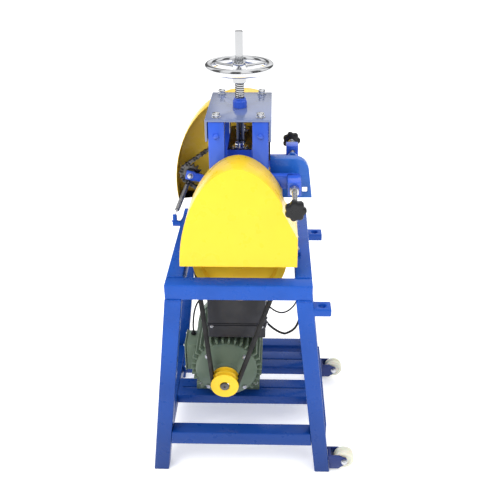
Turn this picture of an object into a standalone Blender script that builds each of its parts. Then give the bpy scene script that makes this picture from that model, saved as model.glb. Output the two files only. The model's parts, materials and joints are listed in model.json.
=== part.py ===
"""Cable stripping machine: a feed and knife head on a welded stand, driven by belts and a chain.

Metres, +Z up. The machine is laid out over the floor under its spindle, and the finished model is
then moved so that the origin is the bottom centre of its box. Heights of the head are rises over
the table, and near-side places are insets from the frame's near face. Shafts run along Y, the
belt side is at -Y, the chain side at +Y, and cable is fed along X from the right.
"""
import math

import bmesh
import bpy
from mathutils import Vector

# Shared clearances and cutting overruns
seat_gap = 0.0003
running_gap = 0.0005
cut_overrun = 0.004

# Stand of square tube, its legs splayed to the left and right
tube = 0.040
frame_width = 0.348
frame_depth = 0.436
frame_height = 0.580
feet_width = 0.473
leg_inset = 0.001
low_rail_top = 0.132
motor_rail_height = 0.028
motor_rail_bar = 0.036
motor_rail_slot = 0.004
motor_rail_end = 0.012
near_motor_rail_y = -0.028
far_motor_rail_inset = 0.110

# Lifting lugs on the right legs
lug_reach = 0.042
lug_depth = 0.040
lug_thickness = 0.019
lug_drop = 0.064
lug_hole = 0.017

# Transport wheels in forks on the right legs
wheel_diameter = 0.052
wheel_width = 0.026
wheel_groove = 0.005
wheel_rise = 0.012
wheel_reach = 0.042
fork_plate = 0.004
fork_side_gap = 0.0015
fork_nose = 0.014
axle_diameter = 0.010

# Base plate of the head
base_thickness = 0.0097
base_width = 0.300
base_near_inset = 0.110
base_far_y = 0.136
base_step_inset = 0.152
base_nose_width = 0.210

# Columns and the bridge on top of them
column_width = 0.036
column_depth = 0.036
column_spread = 0.100
near_column_inset = 0.134
far_column_y = 0.110
bridge_rise = 0.361
bridge_thickness = 0.005
bridge_width = 0.150
bridge_near_inset = 0.114
bridge_far_y = 0.128
bridge_flange = 0.051

# Spindle, its nut and the handwheel
spindle_y = 0.0
thread_diameter = 0.0215
rod_diameter = 0.0186
spindle_rise = 0.536
nut_diameter = 0.033
nut_height = 0.022
collar_diameter = 0.032
collar_bottom_rise = 0.420
collar_top_rise = 0.447
handwheel_diameter = 0.160
rim_thickness = 0.019
handwheel_rise = 0.455
hub_diameter = 0.030
hub_height = 0.018
spoke_width = 0.013
spoke_thickness = 0.008
spoke_count = 3

# Carriage that slides between the columns and carries the knife shaft
carriage_rise = 0.274
beam_thickness = 0.020
beam_width = 0.058
beam_near_inset = 0.167
block_height = 0.059
block_depth = 0.056
spindle_seat_depth = 0.011

# Shafts, knife and feed roller
shaft_diameter = 0.020
drive_axis_rise = 0.032
roller_axis_rise = 0.120
knife_axis_rise = 0.225
work_y = 0.012
knife_diameter = 0.056
knife_width = 0.014
knife_edge = 0.002
knife_hub_diameter = 0.034
knife_hub_width = 0.040
roller_diameter = 0.112
roller_width = 0.060
roller_groove_depth = 0.008
roller_groove_width = 0.030
housing_rise = 0.165
housing_depth = 0.034
shaft_overhang = 0.006

# Chain drive on the far side
chain_pitch = 0.0127
chain_plate = 0.0022
chain_inner_width = 0.0094
chain_link_height = 0.0104
chain_roller = 0.0066
chain_y = 0.150
sprocket_hub_diameter = 0.030
sprocket_hub_width = 0.011
tooth_rise = 0.0030
tooth_root = 0.0042
tooth_shares = (0.0, 0.30, 0.55, 0.75)
drive_teeth = 13
roller_teeth = 17
knife_teeth = 17
idler_teeth = 13

# Chain tensioner
idler_x = -0.142
idler_rise = 0.134
arm_pivot_x = -0.050
arm_pivot_rise = 0.110
arm_thickness = 0.008
arm_width = 0.020
arm_head = 0.024
pivot_diameter = 0.012
pivot_end = 0.002
idler_stud_diameter = 0.010
spring_wire = 0.0022
spring_diameter = 0.013
spring_turns = 26
spring_steps = 8
spring_end_gap = 0.0008
spring_foot_x = -0.190
spring_foot_rise = 0.020
spring_lug_size = 0.014
spring_lug_thickness = 0.005
anchor_diameter = 0.016

# Belt drive on the near side
pulley_inset = 0.068
pulley_width = 0.036
pulley_rail_gap = 0.020
motor_pulley_diameter = 0.074
groove_depth = 0.012
belt_spacing = 0.018
belt_top_width = 0.0125
belt_bottom_width = 0.0075
belt_height = 0.008
belt_sink = 0.001
belt_gap = 0.0008
pulley_rim = 0.020
pulley_web = 0.010
pulley_hub_diameter = 0.052

# Motor
motor_x = -0.044
motor_axis_rise = 0.100
motor_radius = 0.091
fin_height = 0.006
fin_count = 28
fin_shares = (0.0, 0.6, 0.6, 1.0)
motor_front_inset = 0.150
motor_length = 0.196
nose_length = 0.038
nose_tip_radius = 0.036
nose_root_radius = 0.080
cowl_radius = 0.098
cowl_length = 0.044
motor_shaft_diameter = 0.024
motor_foot_width = 0.178
motor_foot_setback = 0.030
motor_foot_length = 0.158
motor_foot_thickness = 0.014
motor_foot_web = 0.110
terminal_box_x = -0.163
terminal_box_width = 0.045
terminal_box_height = 0.090
terminal_box_depth = 0.076

# Electrical box under the base plate
box_left_x = -0.090
box_right_x = 0.062
box_near_y = -0.070
box_far_y = 0.104
box_motor_gap = 0.002

# Belt guard
guard_wall = 0.002
belt_guard_inset = 0.022
belt_guard_back_gap = 0.0015
belt_guard_bottom_rise = 0.038
belt_guard_top_rise = 0.280
belt_guard_side_gap = 0.023
belt_guard_power = 1.9
guard_notch_x = 0.101
guard_notch_rise = 0.180
guard_flare_rise = 0.110
guard_post_diameter = 0.014
belt_guard_post_rise = 0.220

# Chain guard
chain_guard_near_y = 0.1400
chain_guard_far_y = 0.200
chain_guard_bottom_rise = 0.063
chain_guard_axis_rise = 0.110
chain_guard_left = 0.182
chain_guard_right = 0.071
chain_guard_rise = 0.2436
chain_guard_post_rise = 0.313
chain_guard_low_post_rise = 0.082

# Infeed guides on the right
guide_screw_x = 0.128
guide_screw_rise = 0.210
guide_screw_diameter = 0.012
arm_block_width = 0.031
arm_block_height = 0.034
near_arm_inset = 0.078
near_arm_back_inset = 0.128
far_arm_y = 0.138
far_arm_back_y = 0.104
arm_link_depth = 0.018
far_link_drop = 0.024
far_link_height = 0.030
guide_plate_inset = 0.156
guide_plate_depth = 0.027
guide_plate_wall = 0.005
guide_plate_left = 0.072
guide_plate_right = 0.173
guide_plate_bottom_rise = 0.156
guide_plate_top_rise = 0.254
guide_plate_corner = 0.034
guide_plate_draft = 0.008
guide_window = 0.012
guide_window_x = 0.155
guide_window_rise = 0.177
far_plate_y = 0.060
far_plate_thickness = 0.008
far_plate_top_rise = 0.217
far_plate_short = 0.028
far_plate_corner = 0.020
near_knob_reach = 0.028
far_knob_y = 0.190
knob_diameter = 0.048
knob_length = 0.018
knob_hub_diameter = 0.020
knob_hub_length = 0.008
knob_lobes = 7
lobe_depth_share = 0.17
knob_seat_depth = 0.008

# Cables under the head
motor_cable_diameter = 0.0065
control_cable_diameter = 0.0045
terminal_cable_diameter = 0.005
cable_steps = 22

# Places worked out from the sizes above
near_face = -frame_depth / 2
bridge_top = frame_height + bridge_rise
spindle_top = frame_height + spindle_rise
collar_bottom = frame_height + collar_bottom_rise
collar_top = frame_height + collar_top_rise
handwheel_height = frame_height + handwheel_rise
carriage_top = frame_height + carriage_rise
drive_axis_z = frame_height + drive_axis_rise
roller_axis_z = frame_height + roller_axis_rise
knife_axis_z = frame_height + knife_axis_rise
housing_top = frame_height + housing_rise
idler_z = frame_height + idler_rise
arm_pivot_z = frame_height + arm_pivot_rise
spring_foot_z = frame_height + spring_foot_rise
belt_guard_bottom = frame_height + belt_guard_bottom_rise
belt_guard_top = frame_height + belt_guard_top_rise
guard_notch_bottom = frame_height + guard_notch_rise
guard_flare_z = frame_height + guard_flare_rise
belt_guard_post_z = frame_height + belt_guard_post_rise
chain_guard_bottom = frame_height + chain_guard_bottom_rise
chain_guard_axis_z = frame_height + chain_guard_axis_rise
chain_guard_post_z = frame_height + chain_guard_post_rise
chain_guard_low_post_z = frame_height + chain_guard_low_post_rise
guide_screw_z = frame_height + guide_screw_rise
guide_plate_bottom = frame_height + guide_plate_bottom_rise
guide_plate_top = frame_height + guide_plate_top_rise
guide_window_z = frame_height + guide_window_rise
far_plate_top = frame_height + far_plate_top_rise
base_near_y = near_face + base_near_inset
base_step_y = near_face + base_step_inset
near_column_y = near_face + near_column_inset
bridge_near_y = near_face + bridge_near_inset
beam_near_y = near_face + beam_near_inset
pulley_near_y = near_face + pulley_inset
motor_front_y = near_face + motor_front_inset
belt_guard_near_y = near_face + belt_guard_inset
near_arm_y = near_face + near_arm_inset
near_arm_back_y = near_face + near_arm_back_inset
guide_plate_near_y = near_face + guide_plate_inset
near_knob_y = near_face - near_knob_reach
motor_rear_y = motor_front_y + motor_length
nose_tip_y = motor_front_y - nose_length
cowl_rear_y = motor_rear_y + cowl_length
motor_foot_near_y = motor_front_y + motor_foot_setback
motor_foot_far_y = motor_foot_near_y + motor_foot_length
far_motor_rail_y = frame_depth / 2 - far_motor_rail_inset
leg_y = frame_depth / 2 - tube / 2
driven_pulley_diameter = frame_width - 2 * (tube + pulley_rail_gap)
belt_guard_half_width = driven_pulley_diameter / 2 + belt_guard_side_gap
sprocket_width = chain_inner_width - 2 * seat_gap
base_top = frame_height + seat_gap + base_thickness
column_foot = base_top + seat_gap
bridge_under = bridge_top - bridge_thickness
column_top = bridge_under - seat_gap
window_half = (column_spread - column_width) / 2
pulley_far_y = pulley_near_y + pulley_width
motor_axis_z = low_rail_top + motor_axis_rise
box_bottom_z = motor_axis_z + cowl_radius + box_motor_gap
leg_top = frame_height - tube - seat_gap
far_column_back = far_column_y + column_depth / 2
near_column_front = near_column_y - column_depth / 2
shaft_far_y = chain_y + sprocket_hub_width / 2 + shaft_overhang
idler_arm_near_y = far_column_back + seat_gap
spring_y = idler_arm_near_y + arm_thickness / 2
terminal_box_top = motor_axis_z + terminal_box_height / 2


def clear_scene():
    """Remove every object, so that the scene holds the machine alone."""
    for item in list(bpy.data.objects):
        bpy.data.objects.remove(item, do_unlink=True)


def finish(name, colour, roughness, metallic):
    """One Principled material."""
    material = bpy.data.materials.new(name)
    material.use_nodes = True
    shader = material.node_tree.nodes["Principled BSDF"]
    shader.inputs["Base Color"].default_value = (*colour, 1.0)
    shader.inputs["Roughness"].default_value = roughness
    shader.inputs["Metallic"].default_value = metallic
    return material


def make_finishes():
    """Every material of the machine by its name."""
    return {
        "blue_paint": finish("blue_paint", (0.030, 0.095, 0.420), 0.35, 0.0),
        "yellow_paint": finish("yellow_paint", (0.900, 0.640, 0.060), 0.35, 0.0),
        "green_paint": finish("green_paint", (0.130, 0.180, 0.130), 0.5, 0.0),
        "steel": finish("steel", (0.560, 0.570, 0.580), 0.25, 1.0),
        "dark_steel": finish("dark_steel", (0.080, 0.080, 0.085), 0.45, 1.0),
        "cast_iron": finish("cast_iron", (0.160, 0.160, 0.165), 0.6, 1.0),
        "black_plastic": finish("black_plastic", (0.015, 0.015, 0.017), 0.4, 0.0),
        "black_paint": finish("black_paint", (0.020, 0.020, 0.022), 0.5, 0.0),
        "rubber": finish("rubber", (0.018, 0.018, 0.018), 0.75, 0.0),
        "nylon": finish("nylon", (0.720, 0.710, 0.620), 0.45, 0.0),
    }


def place(name, mesh_data, material, pivot=(0.0, 0.0, 0.0)):
    """An object with its origin at the pivot and its mesh where it was drawn."""
    bmesh.ops.recalc_face_normals(mesh_data, faces=mesh_data.faces)
    bmesh.ops.translate(mesh_data, verts=mesh_data.verts, vec=-Vector(pivot))
    mesh = bpy.data.meshes.new(name)
    mesh_data.to_mesh(mesh)
    mesh_data.free()
    mesh.materials.append(material)
    item = bpy.data.objects.new(name, mesh)
    item.location = pivot
    bpy.context.collection.objects.link(item)
    return item


def oriented(axis, a, b, along):
    """A point of a profile (a, b) at a distance along an axis. Profiles read x, z or x, y."""
    if axis == "Y":
        return Vector((a, along, b))
    if axis == "X":
        return Vector((along, a, b))
    return Vector((a, b, along))


def prism(outline, axis, low, high):
    """A closed outline drawn across an axis and extruded from low to high."""
    drawn = bmesh.new()
    ends = []
    for along in (low, high):
        ends.append([drawn.verts.new(oriented(axis, a, b, along)) for a, b in outline])
    drawn.faces.new(ends[0])
    drawn.faces.new(ends[1])
    count = len(outline)
    for i in range(count):
        j = (i + 1) % count
        drawn.faces.new((ends[0][i], ends[0][j], ends[1][j], ends[1][i]))
    return drawn


def block(x_low, x_high, y_low, y_high, z_low, z_high):
    """A plain box."""
    corners = [(x_low, z_low), (x_high, z_low), (x_high, z_high), (x_low, z_high)]
    return prism(corners, "Y", y_low, y_high)


def turned(profile, axis, a, b, sides):
    """A profile of (radius, along) points turned about an axis through (a, b).

    A profile that starts and ends at radius zero is solid; any other is a closed ring.
    """
    drawn = bmesh.new()
    rings = []
    for radius, along in profile:
        if radius == 0.0:
            rings.append([drawn.verts.new(oriented(axis, a, b, along))])
            continue
        ring = []
        for i in range(sides):
            angle = 2 * math.pi * i / sides
            u, v = radius * math.cos(angle), radius * math.sin(angle)
            ring.append(drawn.verts.new(oriented(axis, a + u, b + v, along)))
        rings.append(ring)
    pairs = list(zip(rings, rings[1:]))
    if profile[0][0] != 0.0:
        pairs.append((rings[-1], rings[0]))
    for first, second in pairs:
        for i in range(sides):
            j = (i + 1) % sides
            corners = [first[i % len(first)], first[j % len(first)]]
            corners += [second[j % len(second)], second[i % len(second)]]
            unique = list(dict.fromkeys(corners))
            if len(unique) > 2:
                drawn.faces.new(unique)
    return drawn


def rod(axis, a, b, low, high, diameter, sides=20):
    """A plain round bar."""
    radius = diameter / 2
    profile = [(0.0, low), (radius, low), (radius, high), (0.0, high)]
    return turned(profile, axis, a, b, sides)


def ring(axis, a, b, low, high, outer, inner, sides=32):
    """A round bar with a bore."""
    profile = [(inner / 2, low), (outer / 2, low), (outer / 2, high), (inner / 2, high)]
    return turned(profile, axis, a, b, sides)


def tool(target, drawn, operation):
    """A hidden cutter or filler that a Boolean on the target uses."""
    label = f"{target.name}_tool_{len(target.modifiers)}"
    helper = place(label, drawn, target.data.materials[0])
    helper.hide_render = True
    helper.display_type = "WIRE"
    change = target.modifiers.new(label, "BOOLEAN")
    change.operation = operation
    change.solver = "EXACT"
    change.object = helper


def cut(target, *shapes):
    """Take shapes out of an object."""
    for shape in shapes:
        tool(target, shape, "DIFFERENCE")


def fuse(target, *shapes):
    """Join shapes to an object."""
    for shape in shapes:
        tool(target, shape, "UNION")


def smooth(item, angle=math.radians(30)):
    """Round pieces are shaded smooth, with their true edges kept."""
    item.data.shade_smooth()
    item.data.set_sharp_from_angle(angle=angle)


def leg_outer_x(z):
    """Half width over the splayed legs at a height."""
    top = frame_width / 2 + leg_inset
    return feet_width / 2 + (top - feet_width / 2) * z / leg_top


def leg_inner_x(z):
    """Half width between the splayed legs at a height."""
    return leg_outer_x(z) - tube


def make_legs():
    """Four splayed legs. Those on the right carry the lifting lugs."""
    half_depth = frame_depth / 2
    sides = {"left": -1, "right": 1}
    rows = {"near": -half_depth, "far": half_depth - tube}
    lug_top = frame_height - lug_drop
    for row, y_low in rows.items():
        for side, sign in sides.items():
            outline = [
                (sign * leg_inner_x(0.0), 0.0),
                (sign * leg_outer_x(0.0), 0.0),
                (sign * leg_outer_x(leg_top), leg_top),
                (sign * leg_inner_x(leg_top), leg_top),
            ]
            drawn = prism(outline, "Y", y_low, y_low + tube)
            leg = place(f"leg_{row}_{side}", drawn, finishes["blue_paint"])
            if side == "right":
                y = -leg_y if row == "near" else leg_y
                root_x = leg_outer_x(lug_top) - cut_overrun
                tip_x = leg_outer_x(lug_top) + lug_reach
                lug = block(root_x, tip_x, y - lug_depth / 2, y + lug_depth / 2,
                            lug_top - lug_thickness, lug_top)
                fuse(leg, lug)
                hole_x = tip_x - lug_reach / 2
                bore = rod("Z", hole_x, y, lug_top - lug_thickness - cut_overrun,
                           lug_top + cut_overrun, lug_hole)
                cut(leg, bore)


def make_top_rails():
    """The four rails of the table. The left one carries the tensioner spring's anchor."""
    half_width, half_depth = frame_width / 2, frame_depth / 2
    z_low = frame_height - tube
    paint = finishes["blue_paint"]
    place("top_rail_near",
          block(-half_width, half_width, -half_depth, tube - half_depth, z_low, frame_height), paint)
    place("top_rail_far",
          block(-half_width, half_width, half_depth - tube, half_depth, z_low, frame_height), paint)
    y_end = half_depth - tube - seat_gap
    place("top_rail_right",
          block(half_width - tube, half_width, -y_end, y_end, z_low, frame_height), paint)
    left = place("top_rail_left",
                 block(-half_width, tube - half_width, -y_end, y_end, z_low, frame_height), paint)
    anchor_z = frame_height - anchor_diameter / 2
    fuse(left, rod("X", spring_y, anchor_z, spring_foot_x - anchor_diameter / 2,
                   cut_overrun - half_width, anchor_diameter, 16))
    fuse(left, block(spring_foot_x - spring_lug_size / 2, spring_foot_x + spring_lug_thickness,
                     spring_y - spring_lug_thickness / 2, spring_y + spring_lug_thickness / 2,
                     anchor_z, spring_foot_z - seat_gap))


def make_low_rails():
    """The stretchers near the floor, cut to the splay of the legs."""
    half_depth = frame_depth / 2
    z_low = low_rail_top - tube
    paint = finishes["blue_paint"]
    low_x, high_x = leg_inner_x(z_low) - seat_gap, leg_inner_x(low_rail_top) - seat_gap
    outline = [(-low_x, z_low), (low_x, z_low), (high_x, low_rail_top), (-high_x, low_rail_top)]
    place("low_rail_near", prism(outline, "Y", -half_depth, tube - half_depth), paint)
    place("low_rail_far", prism(outline, "Y", half_depth - tube, half_depth), paint)
    y_end = half_depth - tube - seat_gap
    inner = leg_inner_x(z_low)
    for side, sign in (("left", -1), ("right", 1)):
        ends = sorted((sign * inner, sign * (inner + tube)))
        place(f"low_rail_{side}", block(*ends, -y_end, y_end, z_low, low_rail_top), paint)


def make_motor_rails():
    """Two slotted rails that carry the motor, so that it can slide to tighten the belts."""
    x_end = leg_inner_x(low_rail_top - tube) - seat_gap
    z_low = low_rail_top - motor_rail_height
    half_slot = motor_rail_slot / 2
    reach = motor_rail_bar + half_slot
    for row, y in (("near", near_motor_rail_y), ("far", far_motor_rail_y)):
        rail = place(f"motor_rail_{row}",
                     block(-x_end, x_end, y - reach, y + reach, z_low, low_rail_top),
                     finishes["blue_paint"])
        slot_x = x_end - motor_rail_end
        cut(rail, block(-slot_x, slot_x, y - half_slot, y + half_slot,
                        z_low - cut_overrun, low_rail_top + cut_overrun))


def make_transport_wheels():
    """Two small wheels beside the right feet, clear of the floor until the stand is tipped."""
    axle_z = wheel_rise + wheel_diameter / 2
    axle_x = leg_outer_x(axle_z) + wheel_reach
    inner_half = wheel_width / 2 + fork_side_gap
    outer_half = inner_half + fork_plate
    z_low, z_high = wheel_rise, wheel_rise + wheel_diameter - fork_nose / 2
    for row, y in (("near", -leg_y), ("far", leg_y)):
        outline = [
            (leg_outer_x(z_low) + seat_gap, z_low),
            (axle_x - fork_nose, z_low),
            (axle_x + fork_nose / 2, axle_z - fork_nose / 2),
            (axle_x + fork_nose / 2, axle_z + fork_nose / 2),
            (axle_x - fork_nose, z_high),
            (leg_outer_x(z_high) + seat_gap, z_high),
        ]
        fork = place(f"wheel_fork_{row}", prism(outline, "Y", y - outer_half, y + outer_half),
                     finishes["blue_paint"])
        back = leg_outer_x(z_low) + seat_gap + fork_plate
        cut(fork, block(back, axle_x + wheel_diameter, y - inner_half, y + inner_half,
                        z_low - cut_overrun, z_high + cut_overrun))
        fuse(fork, rod("Y", axle_x, axle_z, y - outer_half - fork_plate,
                       y + outer_half + fork_plate, axle_diameter, 16))
        half, radius = wheel_width / 2, wheel_diameter / 2
        bore = axle_diameter / 2 + running_gap
        groove = wheel_groove / 2
        profile = [(bore, y - half), (radius, y - half), (radius, y - groove),
                   (radius - groove, y), (radius, y + groove), (radius, y + half), (bore, y + half)]
        wheel = turned(profile, "Y", axle_x, axle_z, 24)
        smooth(place(f"transport_wheel_{row}", wheel, finishes["nylon"], (axle_x, y, axle_z)))


def make_base_plate():
    """The plate that the head stands on, stepped where it clears the driven pulley."""
    half, nose = base_width / 2, base_nose_width / 2
    outline = [(-half, base_step_y), (-nose, base_step_y), (-nose, base_near_y),
               (nose, base_near_y), (nose, base_step_y), (half, base_step_y),
               (half, base_far_y), (-half, base_far_y)]
    low = frame_height + seat_gap
    place("head_base_plate", prism(outline, "Z", low, base_top), finishes["blue_paint"])


def make_columns():
    """Four columns in two pairs. Those on the right carry the arms of the infeed screws."""
    half_w, half_d = column_width / 2, column_depth / 2
    arm_low = guide_screw_z - arm_block_height / 2
    arm_high = guide_screw_z + arm_block_height / 2
    arm_left = guide_screw_x - arm_block_width / 2
    arm_right = guide_screw_x + arm_block_width / 2
    arms = {"near": (near_arm_y, near_arm_back_y), "far": (far_arm_back_y, far_arm_y)}
    links = {"near": (near_arm_back_y - arm_link_depth / 2, near_arm_back_y + arm_link_depth / 2),
             "far": (far_arm_back_y - arm_link_depth / 2, far_arm_back_y + arm_link_depth / 2)}
    for row, y in (("near", near_column_y), ("far", far_column_y)):
        for side, sign in (("left", -1), ("right", 1)):
            x = sign * column_spread / 2
            column = place(f"column_{row}_{side}",
                           block(x - half_w, x + half_w, y - half_d, y + half_d,
                                 column_foot, column_top), finishes["blue_paint"])
            if side == "right":
                link_high = arm_high - far_link_drop if row == "far" else arm_high
                link_low = link_high - far_link_height if row == "far" else arm_low
                fuse(column, block(x, arm_right - cut_overrun, *links[row], link_low, link_high))
                fuse(column, block(arm_left, arm_right, *arms[row],
                                   arm_low - seat_gap, arm_high + seat_gap))
                cut(column, rod("Y", guide_screw_x, guide_screw_z,
                                arms[row][0] - tube, arms[row][1] + tube,
                                guide_screw_diameter + 2 * running_gap, 16))
            elif row == "far":
                fuse(column, rod("Y", arm_pivot_x, arm_pivot_z, y,
                                 idler_arm_near_y + arm_thickness + pivot_end, pivot_diameter))


def make_bridge():
    """The flanged cover plate on top of the columns, with the hole for the spindle."""
    half = bridge_width / 2
    inner = half - bridge_thickness
    foot = bridge_top - bridge_flange
    outline = [(-half, foot), (-inner, foot), (-inner, bridge_under), (inner, bridge_under),
               (inner, foot), (half, foot), (half, bridge_top), (-half, bridge_top)]
    bridge = place("bridge_plate", prism(outline, "Y", bridge_near_y, bridge_far_y),
                   finishes["blue_paint"])
    hole = thread_diameter + 4 * running_gap
    cut(bridge, rod("Z", 0.0, spindle_y, bridge_under - cut_overrun, bridge_top + cut_overrun, hole))


def make_spindle():
    """The nut on the bridge, the spindle through it and the handwheel."""
    nut = ring("Z", 0.0, spindle_y, bridge_top + seat_gap, bridge_top + seat_gap + nut_height,
               nut_diameter, thread_diameter + 2 * running_gap, 24)
    smooth(place("spindle_nut", nut, finishes["blue_paint"]))
    foot = carriage_top - spindle_seat_depth + seat_gap
    thread, collar, top = thread_diameter / 2, collar_diameter / 2, rod_diameter / 2
    profile = [(0.0, foot), (thread, foot), (thread, collar_bottom), (collar, collar_bottom),
               (collar, collar_top), (top, collar_top), (top, spindle_top), (0.0, spindle_top)]
    pivot = (0.0, spindle_y, handwheel_height)
    smooth(place("spindle", turned(profile, "Z", 0.0, spindle_y, 24), finishes["steel"], pivot))
    make_handwheel(pivot)


def make_handwheel(pivot):
    """A round-section rim on flat spokes, with a bored hub."""
    tube_radius = rim_thickness / 2
    rim_radius = handwheel_diameter / 2 - tube_radius
    points = 8
    section = []
    for i in range(points):
        angle = 2 * math.pi * i / points
        section.append((rim_radius + tube_radius * math.cos(angle),
                        handwheel_height + tube_radius * math.sin(angle)))
    wheel = place("handwheel", turned(section, "Z", 0.0, spindle_y, 36), finishes["steel"], pivot)
    half_t, half_w = spoke_thickness / 2, spoke_width / 2
    for i in range(spoke_count):
        angle = 2 * math.pi * i / spoke_count - math.pi / 2
        spoke = block(hub_diameter / 4, rim_radius, -half_w, half_w,
                      handwheel_height - half_t, handwheel_height + half_t)
        for vert in spoke.verts:
            x, y = vert.co.x, vert.co.y
            vert.co.x = x * math.cos(angle) - y * math.sin(angle)
            vert.co.y = x * math.sin(angle) + y * math.cos(angle) + spindle_y
        fuse(wheel, spoke)
    hub_low = collar_top + seat_gap
    fuse(wheel, rod("Z", 0.0, spindle_y, hub_low, hub_low + hub_height, hub_diameter, 24))
    cut(wheel, rod("Z", 0.0, spindle_y, hub_low - cut_overrun, spindle_top,
                   rod_diameter + 2 * seat_gap, 24))
    smooth(wheel)


def make_carriage():
    """The beam under the spindle and the two blocks that slide between the columns."""
    half = beam_width / 2
    beam_low = carriage_top - beam_thickness
    slide = window_half - running_gap
    near_low = near_column_front + seat_gap
    far_high = far_column_back - seat_gap
    carriage = place("carriage", block(-half, half, beam_near_y, far_high, beam_low, carriage_top),
                     finishes["blue_paint"])
    for low, high in ((near_low, near_low + block_depth), (far_high - block_depth, far_high)):
        fuse(carriage, block(-slide, slide, low, high, beam_low - block_height,
                             beam_low + cut_overrun))
    cut(carriage, rod("Z", 0.0, spindle_y, carriage_top - spindle_seat_depth,
                      carriage_top + cut_overrun, thread_diameter + 2 * running_gap, 24))
    cut(carriage, rod("Y", 0.0, knife_axis_z, near_low - tube, far_high + tube,
                      shaft_diameter + 2 * running_gap, 24))


def make_bearing_housings():
    """Fixed housings between the columns, each with the bores of both lower shafts."""
    slide = window_half - seat_gap
    half = housing_depth / 2
    for row, y in (("near", near_column_y), ("far", far_column_y)):
        housing = place(f"bearing_housing_{row}",
                        block(-slide, slide, y - half, y + half, column_foot, housing_top),
                        finishes["blue_paint"])
        for z in (drive_axis_z, roller_axis_z):
            cut(housing, rod("Y", 0.0, z, y - housing_depth, y + housing_depth,
                             shaft_diameter + 2 * running_gap, 24))


def make_shaft(name, z, near_y):
    """A plain shaft from the near side to past its sprocket."""
    drawn = rod("Y", 0.0, z, near_y, shaft_far_y, shaft_diameter, 24)
    smooth(place(name, drawn, finishes["steel"], (0.0, near_y, z)))


def make_shafts_and_tools():
    """The three shafts with the knife and the feed roller."""
    make_shaft("drive_shaft", drive_axis_z, pulley_near_y - shaft_overhang)
    make_shaft("feed_roller_shaft", roller_axis_z, near_column_front - shaft_overhang / 2)
    make_shaft("knife_shaft", knife_axis_z, near_column_front - shaft_overhang / 2)
    bore = shaft_diameter / 2 + seat_gap
    half, hub = knife_width / 2, knife_hub_width / 2
    edge, radius, hub_radius = knife_edge / 2, knife_diameter / 2, knife_hub_diameter / 2
    profile = [(bore, work_y - hub), (hub_radius, work_y - hub), (hub_radius, work_y - half),
               (radius - half, work_y - half), (radius, work_y - edge), (radius, work_y + edge),
               (radius - half, work_y + half), (hub_radius, work_y + half),
               (hub_radius, work_y + hub), (bore, work_y + hub)]
    smooth(place("knife_wheel", turned(profile, "Y", 0.0, knife_axis_z, 24), finishes["steel"],
                 (0.0, work_y, knife_axis_z)))
    half, groove = roller_width / 2, roller_groove_width / 2
    radius = roller_diameter / 2
    profile = [(bore, work_y - half), (radius, work_y - half), (radius, work_y - groove),
               (radius - roller_groove_depth, work_y), (radius, work_y + groove),
               (radius, work_y + half), (bore, work_y + half)]
    smooth(place("feed_roller", turned(profile, "Y", 0.0, roller_axis_z, 28),
                 finishes["cast_iron"], (0.0, work_y, roller_axis_z)))


def pitch_radius(teeth):
    """Radius of the circle on which a sprocket carries the chain's pins."""
    return chain_pitch / 2 / math.sin(math.pi / teeth)


def make_sprocket(name, x, z, teeth, bore_diameter, y_low, y_high):
    """A toothed plate on a hub."""
    pitch = pitch_radius(teeth)
    tip, root = pitch + tooth_rise, pitch - tooth_root
    outline = []
    for i in range(teeth):
        for share, radius in zip(tooth_shares, (root, root, tip, tip)):
            angle = 2 * math.pi * (i + share) / teeth
            outline.append((x + radius * math.cos(angle), z + radius * math.sin(angle)))
    low, high = chain_y - sprocket_width / 2, chain_y + sprocket_width / 2
    sprocket = place(name, prism(outline, "Y", low, high), finishes["dark_steel"], (x, chain_y, z))
    fuse(sprocket, rod("Y", x, z, y_low, y_high, sprocket_hub_diameter, 16))
    cut(sprocket, rod("Y", x, z, y_low - cut_overrun, y_high + cut_overrun,
                      bore_diameter + 2 * seat_gap, 16))


def loop_around(circles, offset, steps):
    """Points of a loop round circles of (x, z, radius, side), taken counterclockwise.

    side is 1 where the circle lies inside the loop and -1 where the loop bends round its
    outside. offset moves the loop outwards. The straight stretches are returned as well.
    """
    count = len(circles)
    turns = []
    for i in range(count):
        xa, za, ra, sa = circles[i]
        xb, zb, rb, sb = circles[(i + 1) % count]
        distance = math.hypot(xb - xa, zb - za)
        heading = math.atan2(zb - za, xb - xa)
        turns.append(heading - math.acos((ra * sa - rb * sb) / distance))
    points, runs = [], []
    for i in range(count):
        x, z, radius, side = circles[i]
        reach = radius * side + offset
        start, end = turns[i - 1], turns[i]
        sweep = (end - start) % (2 * math.pi)
        if side < 0:
            sweep = -((start - end) % (2 * math.pi))
        for k in range(steps + 1):
            angle = start + sweep * k / steps
            points.append((x + reach * math.cos(angle), z + reach * math.sin(angle)))
    for i in range(count):
        runs.append((points[i * (steps + 1) + steps], points[(i + 1) % count * (steps + 1)]))
    return points, runs


def loop_solid(circles, section, steps):
    """A closed band whose section is a list of (offset, y) corners."""
    drawn = bmesh.new()
    rings = []
    for offset, y in section:
        points, _ = loop_around(circles, offset, steps)
        rings.append([drawn.verts.new((x, y, z)) for x, z in points])
    for i, first in enumerate(rings):
        second = rings[(i + 1) % len(rings)]
        for k in range(len(first)):
            n = (k + 1) % len(first)
            drawn.faces.new((first[k], first[n], second[n], second[k]))
    return drawn


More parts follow.
